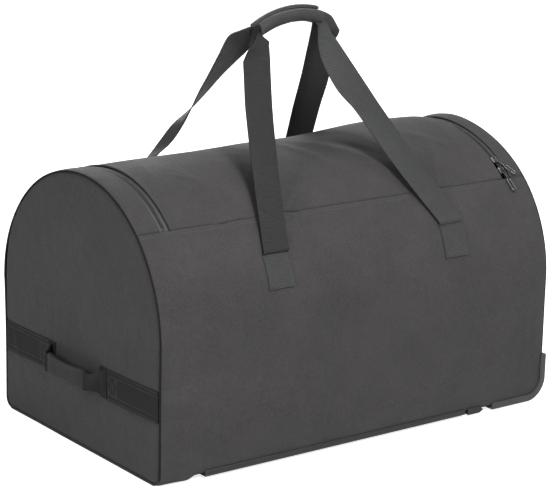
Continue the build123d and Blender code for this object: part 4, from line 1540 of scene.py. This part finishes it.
def zipPull(name, node, body, pin, tip):
    # a wire link on the slider, a short bar, and a flat ring to hold
    link = tube(name + "Link", loopPath(-1.2, 9.0, 3.0, 2.2), 0.75 * mm, True)
    ring = tube(name + "Ring", loopPath(20.0, 45.0, 3.5, 3.0), 1.45 * mm, True)
    settle(ring)
    for point in ring.data.vertices:
        point.co.z *= 0.62
    deselect()
    bpy.ops.mesh.primitive_cube_add(size=1, location=(14.5 * mm, 0, 0))
    bar = bpy.context.active_object
    bar.scale = (14.0 * mm, 4.6 * mm, 1.9 * mm)
    settle(bar)
    applyModifier(bar, "BEVEL", width=0.6 * mm, segments=3)
    piece = joined(name, [bar, link, ring])
    pin, tip = Vector(pin) * mm, Vector(tip) * mm
    outward = Vector((0, pin.y, pin.z - archZ)).normalized()
    turned = basis(pin, tip - pin, outward)
    for point in piece.data.vertices:
        point.co = turned @ point.co
    smoothBy(piece, 40)
    return finish(piece, body, [zipMetal], [node])


zipPull("pullLower", "pull_lower", "lower_pull", (375, -160.8, 411.0), (375, -195.5, 380.8))
zipPull("pullUpper", "pull_upper", "upper_pull", (375, -140.6, 426.8), (395.5, -173.5, 404.2))
keptFinish = {
    "base_board": boardPlastic, "front_bushes": bushPlastic, "back_bushes": bushPlastic,
    "front_axle": axleSteel, "back_axle": axleSteel, "front_axle_clip": axleSteel, "back_axle_clip": axleSteel,
    "front_rivets": axleSteel, "back_rivets": axleSteel,
}
for node, material in keptFinish.items():
    for slotPlace in frame["nodes"][node].material_slots:
        slotPlace.material = material
print("hard parts made")


# camera, light and floor
def makeCamera():
    view = {
        "at": (-2.1433, -2.8558, 1.2206), "forward": (0.58057, 0.77441, -0.25145),
        "up": (0.13305, 0.21445, 0.96763), "lens": 139.3,
    }
    data = bpy.data.cameras.new("camera")
    data.lens = view["lens"]
    data.sensor_width = 36
    data.clip_end = 50
    camera = bpy.data.objects.new("camera", data)
    bpy.context.collection.objects.link(camera)
    back = -Vector(view["forward"]).normalized()
    right = Vector(view["up"]).cross(back).normalized()
    up = back.cross(right)
    camera.matrix_world = Matrix(
        (
            (right.x, up.x, back.x, view["at"][0]), (right.y, up.y, back.y, view["at"][1]),
            (right.z, up.z, back.z, view["at"][2]), (0, 0, 0, 1),
        )
    )
    bpy.context.scene.camera = camera


def softLight(name, at, target, size, power):
    data = bpy.data.lights.new(name, "AREA")
    data.shape = "DISK"
    data.size = size
    data.energy = power
    light = bpy.data.objects.new(name, data)
    bpy.context.collection.objects.link(light)
    light.location = at
    light.rotation_euler = (Vector(target) - Vector(at)).to_track_quat("-Z", "Y").to_euler()


studio = {
    # each light's place, what it points at, its size and its power
    "keyLight": ((-0.4, -3.2, 3.3), (0, 0, 0.3), 1.3, 210),
    "fillLight": ((-4.0, -1.2, 1.8), (0, 0, 0.25), 1.6, 105),
    "topLight": ((1.2, -0.6, 4.0), (0, 0, 0.3), 2.0, 50),
    "backLight": ((1.8, 3.4, 1.6), (0, 0, 0.25), 2.0, 60),
    "ambient": 0.4,
    "floor": (0.62, 0.62, 0.62, 1),
}


def makeStudio():
    ambient = studio["ambient"]
    makeCamera()
    for name in ("keyLight", "fillLight", "topLight", "backLight"):
        softLight(name, *studio[name])
    world = bpy.data.worlds.new("studio")
    world.use_nodes = True
    tree = world.node_tree
    seen = wire(tree, "ShaderNodeLightPath")
    strength = maths(tree, "MULTIPLY_ADD", seen.outputs["Is Camera Ray"], 1 - ambient, ambient)
    tree.nodes["Background"].inputs[0].default_value = (1, 1, 1, 1)
    tree.links.new(strength, tree.nodes["Background"].inputs[1])
    bpy.context.scene.world = world
    bpy.context.scene.view_settings.view_transform = "Standard"
    deselect()
    bpy.ops.mesh.primitive_plane_add(size=40, location=(0, 0, 0))
    floor = bpy.context.active_object
    floor.name = "studioFloor"
    settle(floor)
    material, tree, shader = newMaterial("paleFloor", 0.7)
    shader.inputs["Base Color"].default_value = studio["floor"]
    seen = wire(tree, "ShaderNodeLightPath")
    shader.inputs["Emission Color"].default_value = (1, 1, 1, 1)
    glow = maths(tree, "MULTIPLY", seen.outputs["Is Camera Ray"], 0.8)
    tree.links.new(glow, shader.inputs["Emission Strength"])
    floor.data.materials.append(material)


makeStudio()
print("studio made")
